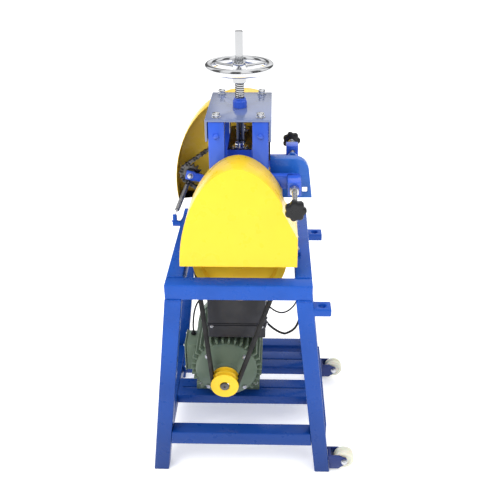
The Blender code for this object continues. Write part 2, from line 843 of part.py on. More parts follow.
def make_chain():
    """The roller chain: two rows of link plates, and the rollers on the straight stretches."""
    circles = [
        (0.0, drive_axis_z, pitch_radius(drive_teeth), 1),
        (0.0, roller_axis_z, pitch_radius(roller_teeth), -1),
        (0.0, knife_axis_z, pitch_radius(knife_teeth), 1),
        (idler_x, idler_z, pitch_radius(idler_teeth), 1),
    ]
    half = chain_link_height / 2
    inner, outer = chain_inner_width / 2, chain_inner_width / 2 + chain_plate
    steps = 12
    section = [(-half, chain_y - outer), (half, chain_y - outer),
               (half, chain_y - inner), (-half, chain_y - inner)]
    chain = place("drive_chain", loop_solid(circles, section, steps), finishes["dark_steel"])
    far_section = [(offset, 2 * chain_y - y) for offset, y in section]
    fuse(chain, loop_solid(circles, far_section, steps))
    _, runs = loop_around(circles, 0.0, steps)
    rollers = bmesh.new()
    reach = inner + chain_plate / 2
    for start, end in runs:
        length = math.hypot(end[0] - start[0], end[1] - start[1])
        count = int(length / chain_pitch)
        for k in range(2, count - 1, 2):
            share = k / count
            x = start[0] + (end[0] - start[0]) * share
            z = start[1] + (end[1] - start[1]) * share
            roller = rod("Y", x, z, chain_y - reach, chain_y + reach, chain_roller, 6)
            scratch = bpy.data.meshes.new("roller")
            bmesh.ops.recalc_face_normals(roller, faces=roller.faces)
            roller.to_mesh(scratch)
            roller.free()
            rollers.from_mesh(scratch)
            bpy.data.meshes.remove(scratch)
    fuse(chain, rollers)


def arm_direction():
    """Unit vectors along the tensioner arm and square to it, pointing down."""
    angle = math.atan2(idler_z - arm_pivot_z, idler_x - arm_pivot_x)
    return (math.cos(angle), math.sin(angle)), (-math.sin(angle), math.cos(angle))


def arm_point(x, z, along, across):
    """A point beside (x, z), measured along the tensioner arm and square to it."""
    (ax, az), (px, pz) = arm_direction()
    return x + ax * along + px * across, z + az * along + pz * across


def make_tensioner():
    """The swinging arm, its idler sprocket and the spring that pulls it down."""
    y_low = idler_arm_near_y
    y_high = y_low + arm_thickness
    half_w, half_h = arm_width / 2, arm_head / 2
    reach = math.hypot(idler_x - arm_pivot_x, idler_z - arm_pivot_z)
    corners = ((0.0, -half_w), (reach - half_h, -half_w), (reach - half_h, -half_h),
               (reach + half_h, -half_h), (reach + half_h, half_h), (reach - half_h, half_h),
               (reach - half_h, half_w), (0.0, half_w))
    outline = [arm_point(arm_pivot_x, arm_pivot_z, *corner) for corner in corners]
    arm = place("idler_arm", prism(outline, "Y", y_low, y_high), finishes["blue_paint"],
                (arm_pivot_x, y_low, arm_pivot_z))
    fuse(arm, rod("Y", arm_pivot_x, arm_pivot_z, y_low, y_high, arm_width, 24))
    fuse(arm, rod("Y", idler_x, idler_z, y_low, shaft_far_y, idler_stud_diameter, 16))
    cut(arm, rod("Y", arm_pivot_x, arm_pivot_z, y_low - cut_overrun, y_high + cut_overrun,
                 pivot_diameter + 2 * running_gap, 20))
    hub_far = chain_y + sprocket_hub_width / 2
    make_sprocket("idler_sprocket", idler_x, idler_z, idler_teeth,
                  idler_stud_diameter + 2 * seat_gap, y_high + running_gap, hub_far)
    top = arm_point(idler_x, idler_z, 0.0, half_h + spring_end_gap)
    foot = (spring_foot_x, spring_foot_z + spring_end_gap - seat_gap)
    make_spring("tension_spring", top, foot)


def make_spring(name, top, foot):
    """A helical spring between two points, whose ends run straight along its axis."""
    start = Vector((top[0], spring_y, top[1]))
    end = Vector((foot[0], spring_y, foot[1]))
    axis = (end - start).normalized()
    across = Vector((-axis.z, 0.0, axis.x))
    depth = Vector((0.0, 1.0, 0.0))
    lead = spring_wire
    length = (end - start).length - 2 * lead
    radius = (spring_diameter - spring_wire) / 2
    steps = spring_turns * spring_steps
    ease = spring_steps / 2
    points = [start]
    for k in range(steps + 1):
        share = min(k / ease, (steps - k) / ease, 1.0)
        reach = radius * share
        angle = 2 * math.pi * k / spring_steps
        middle = start + axis * (lead + length * k / steps)
        points.append(middle + (across * math.cos(angle) + depth * math.sin(angle)) * reach)
    points.append(end)
    gap = min((points[i] - points[j]).length for i in range(len(points))
              for j in range(i + spring_steps // 2 + 1, min(len(points), i + 2 * spring_steps)))
    print(f"least gap of {name} to itself: {(gap - spring_wire) * 1000:.2f} mm")
    tube_along(name, points, spring_wire, finishes["steel"], 1)


def tube_along(name, points, diameter, material, resolution):
    """A round tube through points, with closed ends."""
    curve = bpy.data.curves.new(name, "CURVE")
    curve.dimensions = "3D"
    curve.bevel_depth = diameter / 2
    curve.bevel_resolution = resolution
    curve.use_fill_caps = True
    spline = curve.splines.new("POLY")
    spline.points.add(len(points) - 1)
    for point, place_at in zip(spline.points, points):
        point.co = (*place_at, 1.0)
    curve.materials.append(material)
    item = bpy.data.objects.new(name, curve)
    bpy.context.collection.objects.link(item)


def groove_profile(radius, y):
    """The corners of one belt groove, from its near edge to its far edge."""
    top = belt_top_width / 2 + belt_gap
    bottom = belt_bottom_width / 2 + belt_gap
    floor = radius - groove_depth
    return [(radius, y - top), (floor, y - bottom), (floor, y + bottom), (radius, y + top)]


def belt_centres():
    """Where the two belts run along the pulleys."""
    middle = pulley_near_y + pulley_width / 2
    return middle - belt_spacing / 2, middle + belt_spacing / 2


def make_belt_drive():
    """Both pulleys and the two V belts round them."""
    grooves = {}
    for key, diameter in (("driven", driven_pulley_diameter), ("motor", motor_pulley_diameter)):
        radius = diameter / 2
        grooves[key] = [(radius, pulley_near_y)]
        for y in belt_centres():
            grooves[key] += groove_profile(radius, y)
        grooves[key].append((radius, pulley_far_y))
    bore, hub = shaft_diameter / 2 + seat_gap, pulley_hub_diameter / 2
    rim = driven_pulley_diameter / 2 - pulley_rim
    middle = pulley_near_y + pulley_width / 2
    web_near, web_far = middle - pulley_web / 2, middle + pulley_web / 2
    profile = [(bore, pulley_near_y), (hub, pulley_near_y), (hub, web_near), (rim, web_near),
               (rim, pulley_near_y), *grooves["driven"], (rim, pulley_far_y), (rim, web_far),
               (hub, web_far), (hub, pulley_far_y), (bore, pulley_far_y)]
    smooth(place("driven_pulley", turned(profile, "Y", 0.0, drive_axis_z, 40),
                 finishes["yellow_paint"], (0.0, middle, drive_axis_z)))
    bore = motor_shaft_diameter / 2 + seat_gap
    profile = [(bore, pulley_near_y), *grooves["motor"], (bore, pulley_far_y)]
    smooth(place("motor_pulley", turned(profile, "Y", motor_x, motor_axis_z, 32),
                 finishes["yellow_paint"], (motor_x, middle, motor_axis_z)))
    circles = [(motor_x, motor_axis_z, motor_pulley_diameter / 2, 1),
               (0.0, drive_axis_z, driven_pulley_diameter / 2, 1)]
    top, bottom = belt_top_width / 2, belt_bottom_width / 2
    for row, y in zip(("near", "far"), belt_centres()):
        section = [(-belt_sink - belt_height, y - bottom), (-belt_sink, y - top),
                   (-belt_sink, y + top), (-belt_sink - belt_height, y + bottom)]
        place(f"v_belt_{row}", loop_solid(circles, section, 24), finishes["rubber"])


def make_motor():
    """The finned motor on its foot, with its terminal box, and its shaft."""
    outline = []
    for i in range(fin_count):
        for share, rise in zip(fin_shares, (0.0, 0.0, fin_height, fin_height)):
            angle = 2 * math.pi * (i + share) / fin_count
            radius = motor_radius + rise
            outline.append((motor_x + radius * math.cos(angle),
                            motor_axis_z + radius * math.sin(angle)))
    body = place("motor_body", prism(outline, "Y", motor_front_y, motor_rear_y),
                 finishes["green_paint"])
    shoulder = motor_front_y - fin_height
    nose = [(0.0, nose_tip_y), (nose_tip_radius, nose_tip_y), (nose_root_radius, shoulder),
            (motor_radius, shoulder), (motor_radius, motor_front_y + cut_overrun),
            (0.0, motor_front_y + cut_overrun)]
    fuse(body, turned(nose, "Y", motor_x, motor_axis_z, 40))
    fuse(body, rod("Y", motor_x, motor_axis_z, motor_rear_y - cut_overrun, cowl_rear_y,
                   2 * cowl_radius, 40))
    foot_low = low_rail_top + seat_gap
    half_foot, half_web = motor_foot_width / 2, motor_foot_web / 2
    fuse(body, block(motor_x - half_foot, motor_x + half_foot, motor_foot_near_y, motor_foot_far_y,
                     foot_low, foot_low + motor_foot_thickness))
    fuse(body, block(motor_x - half_web, motor_x + half_web,
                     motor_foot_near_y + motor_foot_thickness,
                     motor_foot_far_y - motor_foot_thickness, foot_low, motor_axis_z))
    fuse(body, block(terminal_box_x, terminal_box_x + terminal_box_width,
                     work_y - terminal_box_depth / 2, work_y + terminal_box_depth / 2,
                     motor_axis_z - terminal_box_height / 2, terminal_box_top))
    cut(body, rod("Y", motor_x, motor_axis_z, nose_tip_y - cut_overrun,
                  nose_tip_y + motor_shaft_diameter, motor_shaft_diameter + 2 * running_gap, 24))
    shaft_near = pulley_near_y - shaft_overhang / 2
    drawn = rod("Y", motor_x, motor_axis_z, shaft_near,
                nose_tip_y + motor_shaft_diameter - running_gap, motor_shaft_diameter, 24)
    smooth(place("motor_shaft", drawn, finishes["steel"], (motor_x, shaft_near, motor_axis_z)))


def make_electrical_box():
    """The sheet-metal box that hangs from the base plate behind the motor's front."""
    place("electrical_box", block(box_left_x, box_right_x, box_near_y, box_far_y,
                                  box_bottom_z, frame_height), finishes["black_paint"])


def inset(outline, wall):
    """An outline drawn in by a wall's thickness. The outline runs counterclockwise."""
    drawn_in = []
    count = len(outline)
    for i, (x, z) in enumerate(outline):
        before = Vector(outline[i]) - Vector(outline[i - 1])
        after = Vector(outline[(i + 1) % count]) - Vector(outline[i])
        n1 = Vector((-before.y, before.x)).normalized()
        n2 = Vector((-after.y, after.x)).normalized()
        bisector = (n1 + n2).normalized()
        shift = bisector * (wall / max(bisector.dot(n1), 0.5))
        drawn_in.append((x + shift.x, z + shift.y))
    return drawn_in


def open_below(outline, floor):
    """An inner outline whose lowest corners run out through the bottom."""
    level = min(z for _, z in outline)
    return [(x, floor if z - level < seat_gap else z) for x, z in outline]


def belt_guard_outline():
    """The near guard: a pinched arch whose right side steps in and flares out again."""
    power = 2 / belt_guard_power
    rise = belt_guard_top - belt_guard_bottom
    last = math.acos((guard_notch_x / belt_guard_half_width) ** (1 / power))
    outline = [(belt_guard_half_width, belt_guard_bottom), (belt_guard_half_width, guard_flare_z),
               (guard_notch_x, guard_notch_bottom)]
    steps = 26
    for k in range(steps + 1):
        angle = last + (math.pi - last) * k / steps
        c, s = math.cos(angle), math.sin(angle)
        x = math.copysign(belt_guard_half_width * abs(c) ** power, c)
        outline.append((x, belt_guard_bottom + rise * max(s, 0.0) ** power))
    return outline


def chain_guard_outline():
    """The far guard: an elliptic arch cut off upright on the right."""
    drop = chain_guard_axis_z - chain_guard_bottom
    first = math.acos(chain_guard_right / chain_guard_left)
    last = math.pi + math.asin(drop / chain_guard_rise)
    steps = 22
    outline = [(chain_guard_right, chain_guard_bottom)]
    for k in range(steps + 1):
        angle = first + (last - first) * k / steps
        outline.append((chain_guard_left * math.cos(angle),
                        chain_guard_axis_z + chain_guard_rise * math.sin(angle)))
    return outline


def make_guards():
    """Both sheet-metal guards, each an open pan on posts that reach the columns."""
    outline = belt_guard_outline()
    inner = open_below(inset(outline, guard_wall), belt_guard_bottom - cut_overrun)
    back_y = near_column_front - belt_guard_back_gap
    guard = place("belt_guard", prism(outline, "Y", belt_guard_near_y, back_y),
                  finishes["yellow_paint"])
    cut(guard, prism(inner, "Y", belt_guard_near_y + guard_wall, back_y + cut_overrun))
    post_root = belt_guard_near_y + guard_wall / 2
    for x in (-column_spread / 2, column_spread / 2):
        fuse(guard, rod("Y", x, belt_guard_post_z, post_root, near_column_front - seat_gap,
                        guard_post_diameter, 12))
    outline = chain_guard_outline()
    inner = open_below(inset(outline, guard_wall), chain_guard_bottom - cut_overrun)
    guard = place("chain_guard", prism(outline, "Y", chain_guard_near_y, chain_guard_far_y),
                  finishes["yellow_paint"])
    cut(guard, prism(inner, "Y", chain_guard_near_y - cut_overrun, chain_guard_far_y - guard_wall))
    post_root = chain_guard_far_y - guard_wall / 2
    x = column_spread / 2
    for post_x, post_z in ((-x, chain_guard_post_z), (x, chain_guard_post_z),
                           (x, chain_guard_low_post_z)):
        fuse(guard, rod("Y", post_x, post_z, far_column_back + seat_gap, post_root,
                        guard_post_diameter, 12))


def lobed_outline(x, z):
    """The star outline of a knob."""
    points = []
    count = knob_lobes * 6
    for i in range(count):
        angle = 2 * math.pi * i / count
        radius = knob_diameter / 2 * (1 - lobe_depth_share * (1 - math.cos(knob_lobes * angle)) / 2)
        points.append((x + radius * math.cos(angle), z + radius * math.sin(angle)))
    return points


def make_knob(name, y_low, y_high, hub_low, hub_high, bore_low, bore_high):
    """A star knob with its hub and the blind bore that takes the screw."""
    x, z = guide_screw_x, guide_screw_z
    knob = place(name, prism(lobed_outline(x, z), "Y", y_low, y_high), finishes["black_plastic"],
                 (x, (y_low + y_high) / 2, z))
    fuse(knob, rod("Y", x, z, hub_low, hub_high, knob_hub_diameter, 20))
    cut(knob, rod("Y", x, z, bore_low, bore_high, guide_screw_diameter + 2 * seat_gap, 20))


def guide_outline(right, draft, top, corner):
    """A guide plate's outline in X and Z, with its free upper corner rounded."""
    outline = [(guide_plate_left, guide_plate_bottom), (right, guide_plate_bottom)]
    steps = 8
    for k in range(steps + 1):
        angle = math.pi / 2 * k / steps
        outline.append((right - draft - corner * (1 - math.cos(angle)),
                        top - corner * (1 - math.sin(angle))))
    outline.append((guide_plate_left, top))
    return outline


def make_infeed_guides():
    """Two guide plates, each pushed along Y by a screw with a star knob."""
    outline = guide_outline(guide_plate_right, guide_plate_draft, guide_plate_top,
                            guide_plate_corner)
    far_y = guide_plate_near_y + guide_plate_depth
    plate = place("near_guide_plate", prism(outline, "Y", guide_plate_near_y, far_y),
                  finishes["blue_paint"])
    inner = open_below(inset(outline, guide_plate_wall), guide_plate_bottom - cut_overrun)
    left = guide_plate_left + guide_plate_wall
    inner = [(guide_plate_left - cut_overrun if x <= left + seat_gap else x, z) for x, z in inner]
    cut(plate, prism(inner, "Y", guide_plate_near_y + guide_plate_wall, far_y + cut_overrun))
    half = guide_window / 2
    cut(plate, block(guide_window_x - half, guide_window_x + half,
                     guide_plate_near_y - cut_overrun, far_y + cut_overrun,
                     guide_window_z - half, guide_window_z + half))
    pad = guide_outline(guide_plate_right - far_plate_short, 0.0, far_plate_top, far_plate_corner)
    place("far_guide_plate", prism(pad, "Y", far_plate_y, far_plate_y + far_plate_thickness),
          finishes["blue_paint"])
    x, z = guide_screw_x, guide_screw_z
    near_seat = near_knob_y - knob_seat_depth
    drawn = rod("Y", x, z, near_seat + seat_gap, guide_plate_near_y - seat_gap,
                guide_screw_diameter, 20)
    smooth(place("near_guide_screw", drawn, finishes["steel"], (x, near_knob_y, z)))
    make_knob("near_star_knob", near_knob_y - knob_length, near_knob_y,
              near_knob_y - cut_overrun, near_knob_y + knob_hub_length,
              near_seat, near_knob_y + 2 * knob_hub_length)
    far_seat = far_knob_y + knob_seat_depth
    drawn = rod("Y", x, z, far_plate_y + far_plate_thickness + seat_gap, far_seat - seat_gap,
                guide_screw_diameter, 20)
    smooth(place("far_guide_screw", drawn, finishes["steel"], (x, far_knob_y, z)))
    make_knob("far_star_knob", far_knob_y, far_knob_y + knob_length,
              far_knob_y - knob_hub_length, far_knob_y + cut_overrun,
              far_knob_y - 2 * knob_hub_length, far_seat)


def smooth_route(knots, steps):
    """Points of a cable's route: a straight lead at each end and a smooth curve between."""
    inner = knots[1:-1]
    padded = [inner[0], *inner, inner[-1]]
    spans = len(inner) - 1
    route = [Vector(knots[0])]
    for k in range(steps + 1):
        i = min(int(k / steps * spans), spans - 1)
        t = k / steps * spans - i
        a, b, c, d = (Vector(padded[i + j]) for j in range(4))
        route.append(b + (c - a) * t / 2 + (a - b * 2.5 + c * 2 - d / 2) * t * t
                     + (b * 1.5 - a / 2 + d / 2 - c * 1.5) * t * t * t)
    return [*route, Vector(knots[-1])]


def make_cables():
    """The three cables under the head, each held at both ends."""
    box_x = box_right_x + seat_gap
    leg_face = frame_depth / 2 - tube - seat_gap
    rubber = finishes["rubber"]
    control = [(box_x, 0.050, 0.352), (0.074, 0.050, 0.352), (0.088, 0.050, 0.341),
               (0.106, 0.051, 0.3345), (0.124, 0.056, 0.338), (0.142, 0.070, 0.349),
               (0.158, 0.104, 0.364), (0.169, 0.140, 0.373), (0.172, 0.168, 0.376),
               (0.172, leg_face, 0.376)]
    tube_along("control_cable", smooth_route(control, cable_steps), control_cable_diameter,
               rubber, 2)
    box_z = box_bottom_z - seat_gap
    feed = [(0.058, 0.030, box_z), (0.058, 0.030, 0.329), (0.068, 0.030, 0.311),
            (0.085, 0.030, 0.294), (0.104, 0.031, 0.281), (0.121, 0.033, 0.278),
            (0.146, 0.046, 0.290), (0.164, 0.090, 0.311), (0.176, 0.140, 0.325),
            (0.178, 0.168, 0.328), (0.178, leg_face, 0.328)]
    tube_along("supply_cable", smooth_route(feed, cable_steps), motor_cable_diameter, rubber, 2)
    lead = [(box_left_x - seat_gap, 0.030, 0.402), (-0.098, 0.030, 0.402), (-0.114, 0.029, 0.395),
            (-0.129, 0.028, 0.375), (-0.138, 0.027, 0.345), (-0.142, 0.026, 0.310),
            (-0.142, 0.026, 0.292), (-0.142, 0.026, terminal_box_top + seat_gap)]
    tube_along("motor_lead", smooth_route(lead, cable_steps), terminal_cable_diameter, rubber, 2)


def centre_on_floor():
    """Move every object so that the origin is the bottom centre of the machine's box."""
    bpy.context.view_layer.update()
    corners = [item.matrix_world @ Vector(corner) for item in bpy.data.objects
               if not item.hide_render for corner in item.bound_box]
    low = Vector([min(corner[i] for corner in corners) for i in range(3)])
    high = Vector([max(corner[i] for corner in corners) for i in range(3)])
    shift = Vector((-(low.x + high.x) / 2, -(low.y + high.y) / 2, -low.z))
    for item in bpy.data.objects:
        item.location += shift
    print("moved by", [round(1000 * value, 4) for value in shift], "mm")


def build():
    """Make every piece of the machine."""
    make_legs()
    make_top_rails()
    make_low_rails()
    make_motor_rails()
    make_transport_wheels()
    make_base_plate()
    make_columns()
    make_bridge()
    make_spindle()
    make_carriage()
    make_bearing_housings()
    make_shafts_and_tools()
    shaft_bore = shaft_diameter
    half_hub = sprocket_hub_width / 2
    hub = (chain_y - half_hub, chain_y + half_hub)
    make_sprocket("drive_sprocket", 0.0, drive_axis_z, drive_teeth, shaft_bore, *hub)
    make_sprocket("roller_sprocket", 0.0, roller_axis_z, roller_teeth, shaft_bore, *hub)
    make_sprocket("knife_sprocket", 0.0, knife_axis_z, knife_teeth, shaft_bore, *hub)
    make_chain()
    make_tensioner()
    make_belt_drive()
    make_motor()
    make_electrical_box()
    make_guards()
    make_infeed_guides()
    make_cables()


clear_scene()
finishes = make_finishes()
build()
centre_on_floor()
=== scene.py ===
"""Looks of a cable stripping machine: its finishes, fine shapes, floor, light and camera.

Metres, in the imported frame. Shafts run along Y, the belt side faces -Y, cable enters at +X.
"""
import json
import logging
import math
from collections.abc import Callable, Sequence
from dataclasses import dataclass, field
from enum import Enum

import bmesh
import bpy
from mathutils import Matrix, Vector

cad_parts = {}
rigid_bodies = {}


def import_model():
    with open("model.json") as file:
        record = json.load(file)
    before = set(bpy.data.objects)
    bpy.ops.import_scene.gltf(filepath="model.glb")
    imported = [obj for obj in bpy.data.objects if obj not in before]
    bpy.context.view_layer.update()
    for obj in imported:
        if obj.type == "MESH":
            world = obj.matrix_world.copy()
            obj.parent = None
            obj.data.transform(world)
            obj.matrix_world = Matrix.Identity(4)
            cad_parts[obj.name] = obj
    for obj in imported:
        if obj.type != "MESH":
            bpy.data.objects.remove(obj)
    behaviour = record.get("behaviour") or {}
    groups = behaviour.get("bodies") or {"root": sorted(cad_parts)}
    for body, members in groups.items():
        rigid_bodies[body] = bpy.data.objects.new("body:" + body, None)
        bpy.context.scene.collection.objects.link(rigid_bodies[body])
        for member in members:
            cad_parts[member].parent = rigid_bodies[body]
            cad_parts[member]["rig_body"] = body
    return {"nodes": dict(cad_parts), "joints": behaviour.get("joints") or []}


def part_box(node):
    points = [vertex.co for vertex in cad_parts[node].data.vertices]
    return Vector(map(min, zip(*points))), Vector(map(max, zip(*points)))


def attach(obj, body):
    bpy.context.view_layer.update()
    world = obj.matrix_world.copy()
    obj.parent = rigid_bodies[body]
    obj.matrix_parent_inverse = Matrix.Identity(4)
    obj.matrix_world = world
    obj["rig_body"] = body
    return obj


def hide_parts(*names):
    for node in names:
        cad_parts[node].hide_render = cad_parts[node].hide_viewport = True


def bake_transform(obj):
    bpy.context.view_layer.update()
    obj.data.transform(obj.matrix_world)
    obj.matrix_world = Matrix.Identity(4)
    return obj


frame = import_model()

logging.basicConfig(level=logging.INFO, format="%(message)s")
log = logging.getLogger("cable_stripper")
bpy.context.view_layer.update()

Outline = list[tuple[float, float]]


class Body(Enum):
    """The moving bodies of the machine, by their names in the frame."""

    ROOT = "root"
    CARRIAGE = "carriage"
    SPINDLE = "spindle"
    KNIFE = "knife"
    FEED = "feed_roller"
    DRIVE = "drive_shaft"
    MOTOR = "motor_rotor"
    ARM = "idler_arm"
    IDLER = "idler_wheel"
    NEAR_GUIDE = "near_guide"
    NEAR_SCREW = "near_screw"
    FAR_GUIDE = "far_guide"
    FAR_SCREW = "far_screw"
    NEAR_WHEEL = "wheel_near"
    FAR_WHEEL = "wheel_far"


class Head(Enum):
    """What a fastener shows."""

    HEX_BOLT = "hex_bolt"
    DOMED_BOLT = "domed_bolt"
    NUT_ON_STUD = "nut_on_stud"
    PAN_SCREW = "pan_screw"


@dataclass(frozen=True)
class Box:
    """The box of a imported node."""

    low: Vector
    high: Vector

    @property
    def centre(self) -> Vector:
        """Middle of the box."""
        return (self.low + self.high) / 2

    @property
    def size(self) -> Vector:
        """Lengths of the box along X, Y and Z."""
        return self.high - self.low


def node_box(name: str) -> Box:
    """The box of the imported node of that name."""
    return Box(*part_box(name))


spindle_axis = node_box("spindle").centre

# A height over the whole machine, for finishes with no painted shade on a piece's top
no_painted_shade_top_z = 9.0


def at(x: float, y: float, z: float) -> Vector:
    """A place in the frame, measured from the floor under the spindle."""
    return Vector((spindle_axis.x + x, spindle_axis.y + y, z))


def facing(origin: Vector, direction: Sequence[float]) -> Matrix:
    """A placement whose own Z points in a direction.

    Args:
        origin: where the placement stands.
        direction: where its Z axis points.

    Returns:
        The placement as a matrix.
    """
    turn = Vector((0.0, 0.0, 1.0)).rotation_difference(Vector(direction))
    return Matrix.Translation(origin) @ turn.to_matrix().to_4x4()


def srgb(red: int, green: int, blue: int) -> tuple[float, float, float]:
    """A colour from the 0 to 255 values of a screen, as linear light."""
    shares = (value / 255 for value in (red, green, blue))
    return tuple(s / 12.92 if s <= 0.04045 else ((s + 0.055) / 1.055) ** 2.4 for s in shares)


class MaterialTree:
    """A material's node tree under construction."""

    def __init__(self, name: str) -> None:
        """Start a material of that name from its Principled shader."""
        self.material = bpy.data.materials.new(name)
        self.material.use_nodes = True
        self.tree = self.material.node_tree
        self.shader = self.tree.nodes["Principled BSDF"]
        self.place = self.tree.nodes.new("ShaderNodeTexCoord").outputs["Object"]

    def add(self, kind: str, inputs: dict, **settings: object) -> bpy.types.Node:
        """Add a node.

        Args:
            kind: the node's type, without its ShaderNode prefix.
            inputs: values or sockets by input name or number.
            settings: the node's own properties.

        Returns:
            The node.
        """
        node = self.tree.nodes.new("ShaderNode" + kind)
        for key, value in settings.items():
            setattr(node, key, value)
        for key, value in inputs.items():
            if isinstance(value, bpy.types.NodeSocket):
                self.tree.links.new(value, node.inputs[key])
            else:
                node.inputs[key].default_value = value
        return node

    def noise(self, scale: float, detail: float = 2.0, stretch: Sequence[float] = (1, 1, 1)):
        """Noise on the object's own coordinates, finer where stretch is larger."""
        spread = self.add("Mapping", {"Vector": self.place, "Scale": tuple(stretch)})
        made = self.add("TexNoise", {"Vector": spread.outputs[0], "Scale": scale,
                                     "Detail": detail})
        return made.outputs["Fac"]

    def remap(self, value, low: float, high: float, to_low: float, to_high: float):
        """Map a value from one range to another, held at both ends."""
        made = self.add("MapRange", {0: value, 1: low, 2: high, 3: to_low, 4: to_high})
        return made.outputs[0]

    def blend(self, share, first, second):
        """Mix two colours by a share."""
        def full(colour):
            return colour if isinstance(colour, bpy.types.NodeSocket) else (*colour, 1.0)
        made = self.add("Mix", {0: share, 6: full(first), 7: full(second)}, data_type="RGBA")
        return made.outputs[2]

    def height(self):
        """The object's Z, as a socket."""
        split = self.add("SeparateXYZ", {0: self.place})
        return split.outputs[2]

    def bump(self, layers: Sequence[tuple]) -> None:
        """Lay bumps over each other, each a socket and its depth in metres."""
        normal = None
        for height, depth in layers:
            inputs = {"Height": height, "Distance": depth, "Strength": 1.0}
            if normal is not None:
                inputs["Normal"] = normal
            normal = self.add("Bump", inputs).outputs[0]
        self.tree.links.new(normal, self.shader.inputs["Normal"])

    def set(self, **values: object) -> None:
        """Set or link inputs of the shader, with underscores for spaces."""
        for key, value in values.items():
            socket = self.shader.inputs[key.replace("_", " ")]
            if isinstance(value, bpy.types.NodeSocket):
                self.tree.links.new(value, socket)
            else:
                socket.default_value = value


@dataclass(frozen=True)
class Finish:
    """What every finish has: a name, the record's slot and a colour."""

    name: str
    slot: str
    colour: tuple[float, float, float]

    def material(self) -> bpy.types.Material:
        """The finish as a material, built once."""
        found = bpy.data.materials.get(self.name)
        return found or self.build(MaterialTree(self.name))

    def build(self, tree: MaterialTree) -> bpy.types.Material:
        """Build the node tree of the finish."""
        raise NotImplementedError

    def tint(self, share: float) -> tuple[float, float, float]:
        """The colour, darker or lighter by a share."""
        return tuple(min(1.0, value * share) for value in self.colour)


@dataclass(frozen=True)
class Enamel(Finish):
    """Sprayed enamel: gloss, faint orange peel, uneven coats, darkening towards the floor that is
    partly dust and partly painted shade, and where asked a painted shade over a piece's top.
    """

    roughness: float = 0.28
    coat: float = 0.5
    mottle_share: float = 0.10
    peel: float = 0.00006
    floor_dust_and_shade_share: float = 1.0
    fade_low: float = 0.0
    fade_high: float = 0.55
    chip_share: float = 0.0
    chip_colour: tuple[float, float, float] = (0.02, 0.02, 0.025)
    gloss: float = 0.30
    painted_shade_top_z: float = no_painted_shade_top_z
    painted_shade_top_colour: tuple[float, float, float] = (0.004, 0.005, 0.011)

    def build(self, tree: MaterialTree) -> bpy.types.Material:
        """Build the node tree of the enamel."""
        cloud = tree.noise(9.0, 3.0)
        base = tree.blend(tree.remap(cloud, 0.35, 0.65, 0.0, 1.0),
                          self.tint(1 - self.mottle_share), self.tint(1 + self.mottle_share))
        # Darker towards the floor: partly dust, partly painted shade.
        if self.floor_dust_and_shade_share < 1.0:
            fade = tree.remap(tree.height(), self.fade_low, self.fade_high, 1.0, 0.0)
            base = tree.blend(fade, base, self.tint(self.floor_dust_and_shade_share))
        if self.chip_share > 0.0:
            chips = tree.remap(tree.noise(140.0, 4.0), 0.72, 0.745, 0.0, self.chip_share)
            base = tree.blend(chips, base, self.chip_colour)
        # Painted shade: near-black colour over a piece's top, above a given height.
        if self.painted_shade_top_z < no_painted_shade_top_z:
            painted_shade_top = tree.remap(tree.height(), self.painted_shade_top_z - 0.0005, self.painted_shade_top_z, 0.0, 1.0)
            base = tree.blend(painted_shade_top, base, self.painted_shade_top_colour)
        rough = tree.remap(tree.noise(35.0, 4.0), 0.3, 0.7, self.roughness * 0.75,
                           self.roughness * 1.35)
        tree.set(Base_Color=base, Roughness=rough, Coat_Weight=self.coat, Coat_Roughness=0.08,
                 Specular_IOR_Level=self.gloss)
        tree.bump([(tree.noise(22.0, 2.0), self.peel * 6), (tree.noise(420.0, 2.0), self.peel)])
        return tree.material


@dataclass(frozen=True)
class Metal(Finish):
    """Bare or plated metal with fine marks along or around its work."""

    roughness: float = 0.2
    stretch: tuple[float, float, float] = (1.0, 1.0, 1.0)
    mark_depth: float = 0.00002
    stain_share: float = 0.2

    def build(self, tree: MaterialTree) -> bpy.types.Material:
        """Build the node tree of the metal."""
        stain = tree.remap(tree.noise(30.0, 5.0), 0.45, 0.75, 0.0, 1.0)
        base = tree.blend(stain, self.colour, self.tint(1 - self.stain_share))
        marks = tree.noise(260.0, 3.0, self.stretch)
        rough = tree.remap(marks, 0.25, 0.75, self.roughness * 0.7, self.roughness * 1.5)
        tree.set(Base_Color=base, Roughness=rough, Metallic=1.0)
        tree.bump([(marks, self.mark_depth)])
        return tree.material


@dataclass(frozen=True)
class Moulding(Finish):
    """Plastic, rubber or nylon: a soft grain, dust and a slight colour drift."""

    roughness: float = 0.5
    grain: float = 300.0
    grain_depth: float = 0.00008
    dust: tuple[float, float, float] = (0.2, 0.19, 0.17)
    dust_share: float = 0.1
    glow: float = 0.0

    def build(self, tree: MaterialTree) -> bpy.types.Material:
        """Build the node tree of the moulding."""
        cloud = tree.remap(tree.noise(18.0, 4.0), 0.4, 0.75, 0.0, self.dust_share)
        base = tree.blend(cloud, self.colour, self.dust)
        rough = tree.remap(tree.noise(60.0, 3.0), 0.3, 0.7, self.roughness * 0.8,
                           self.roughness * 1.25)
        tree.set(Base_Color=base, Roughness=rough, Subsurface_Weight=self.glow,
                 Subsurface_Scale=0.004, Specular_IOR_Level=0.3)
        tree.bump([(tree.noise(self.grain, 3.0), self.grain_depth)])
        return tree.material
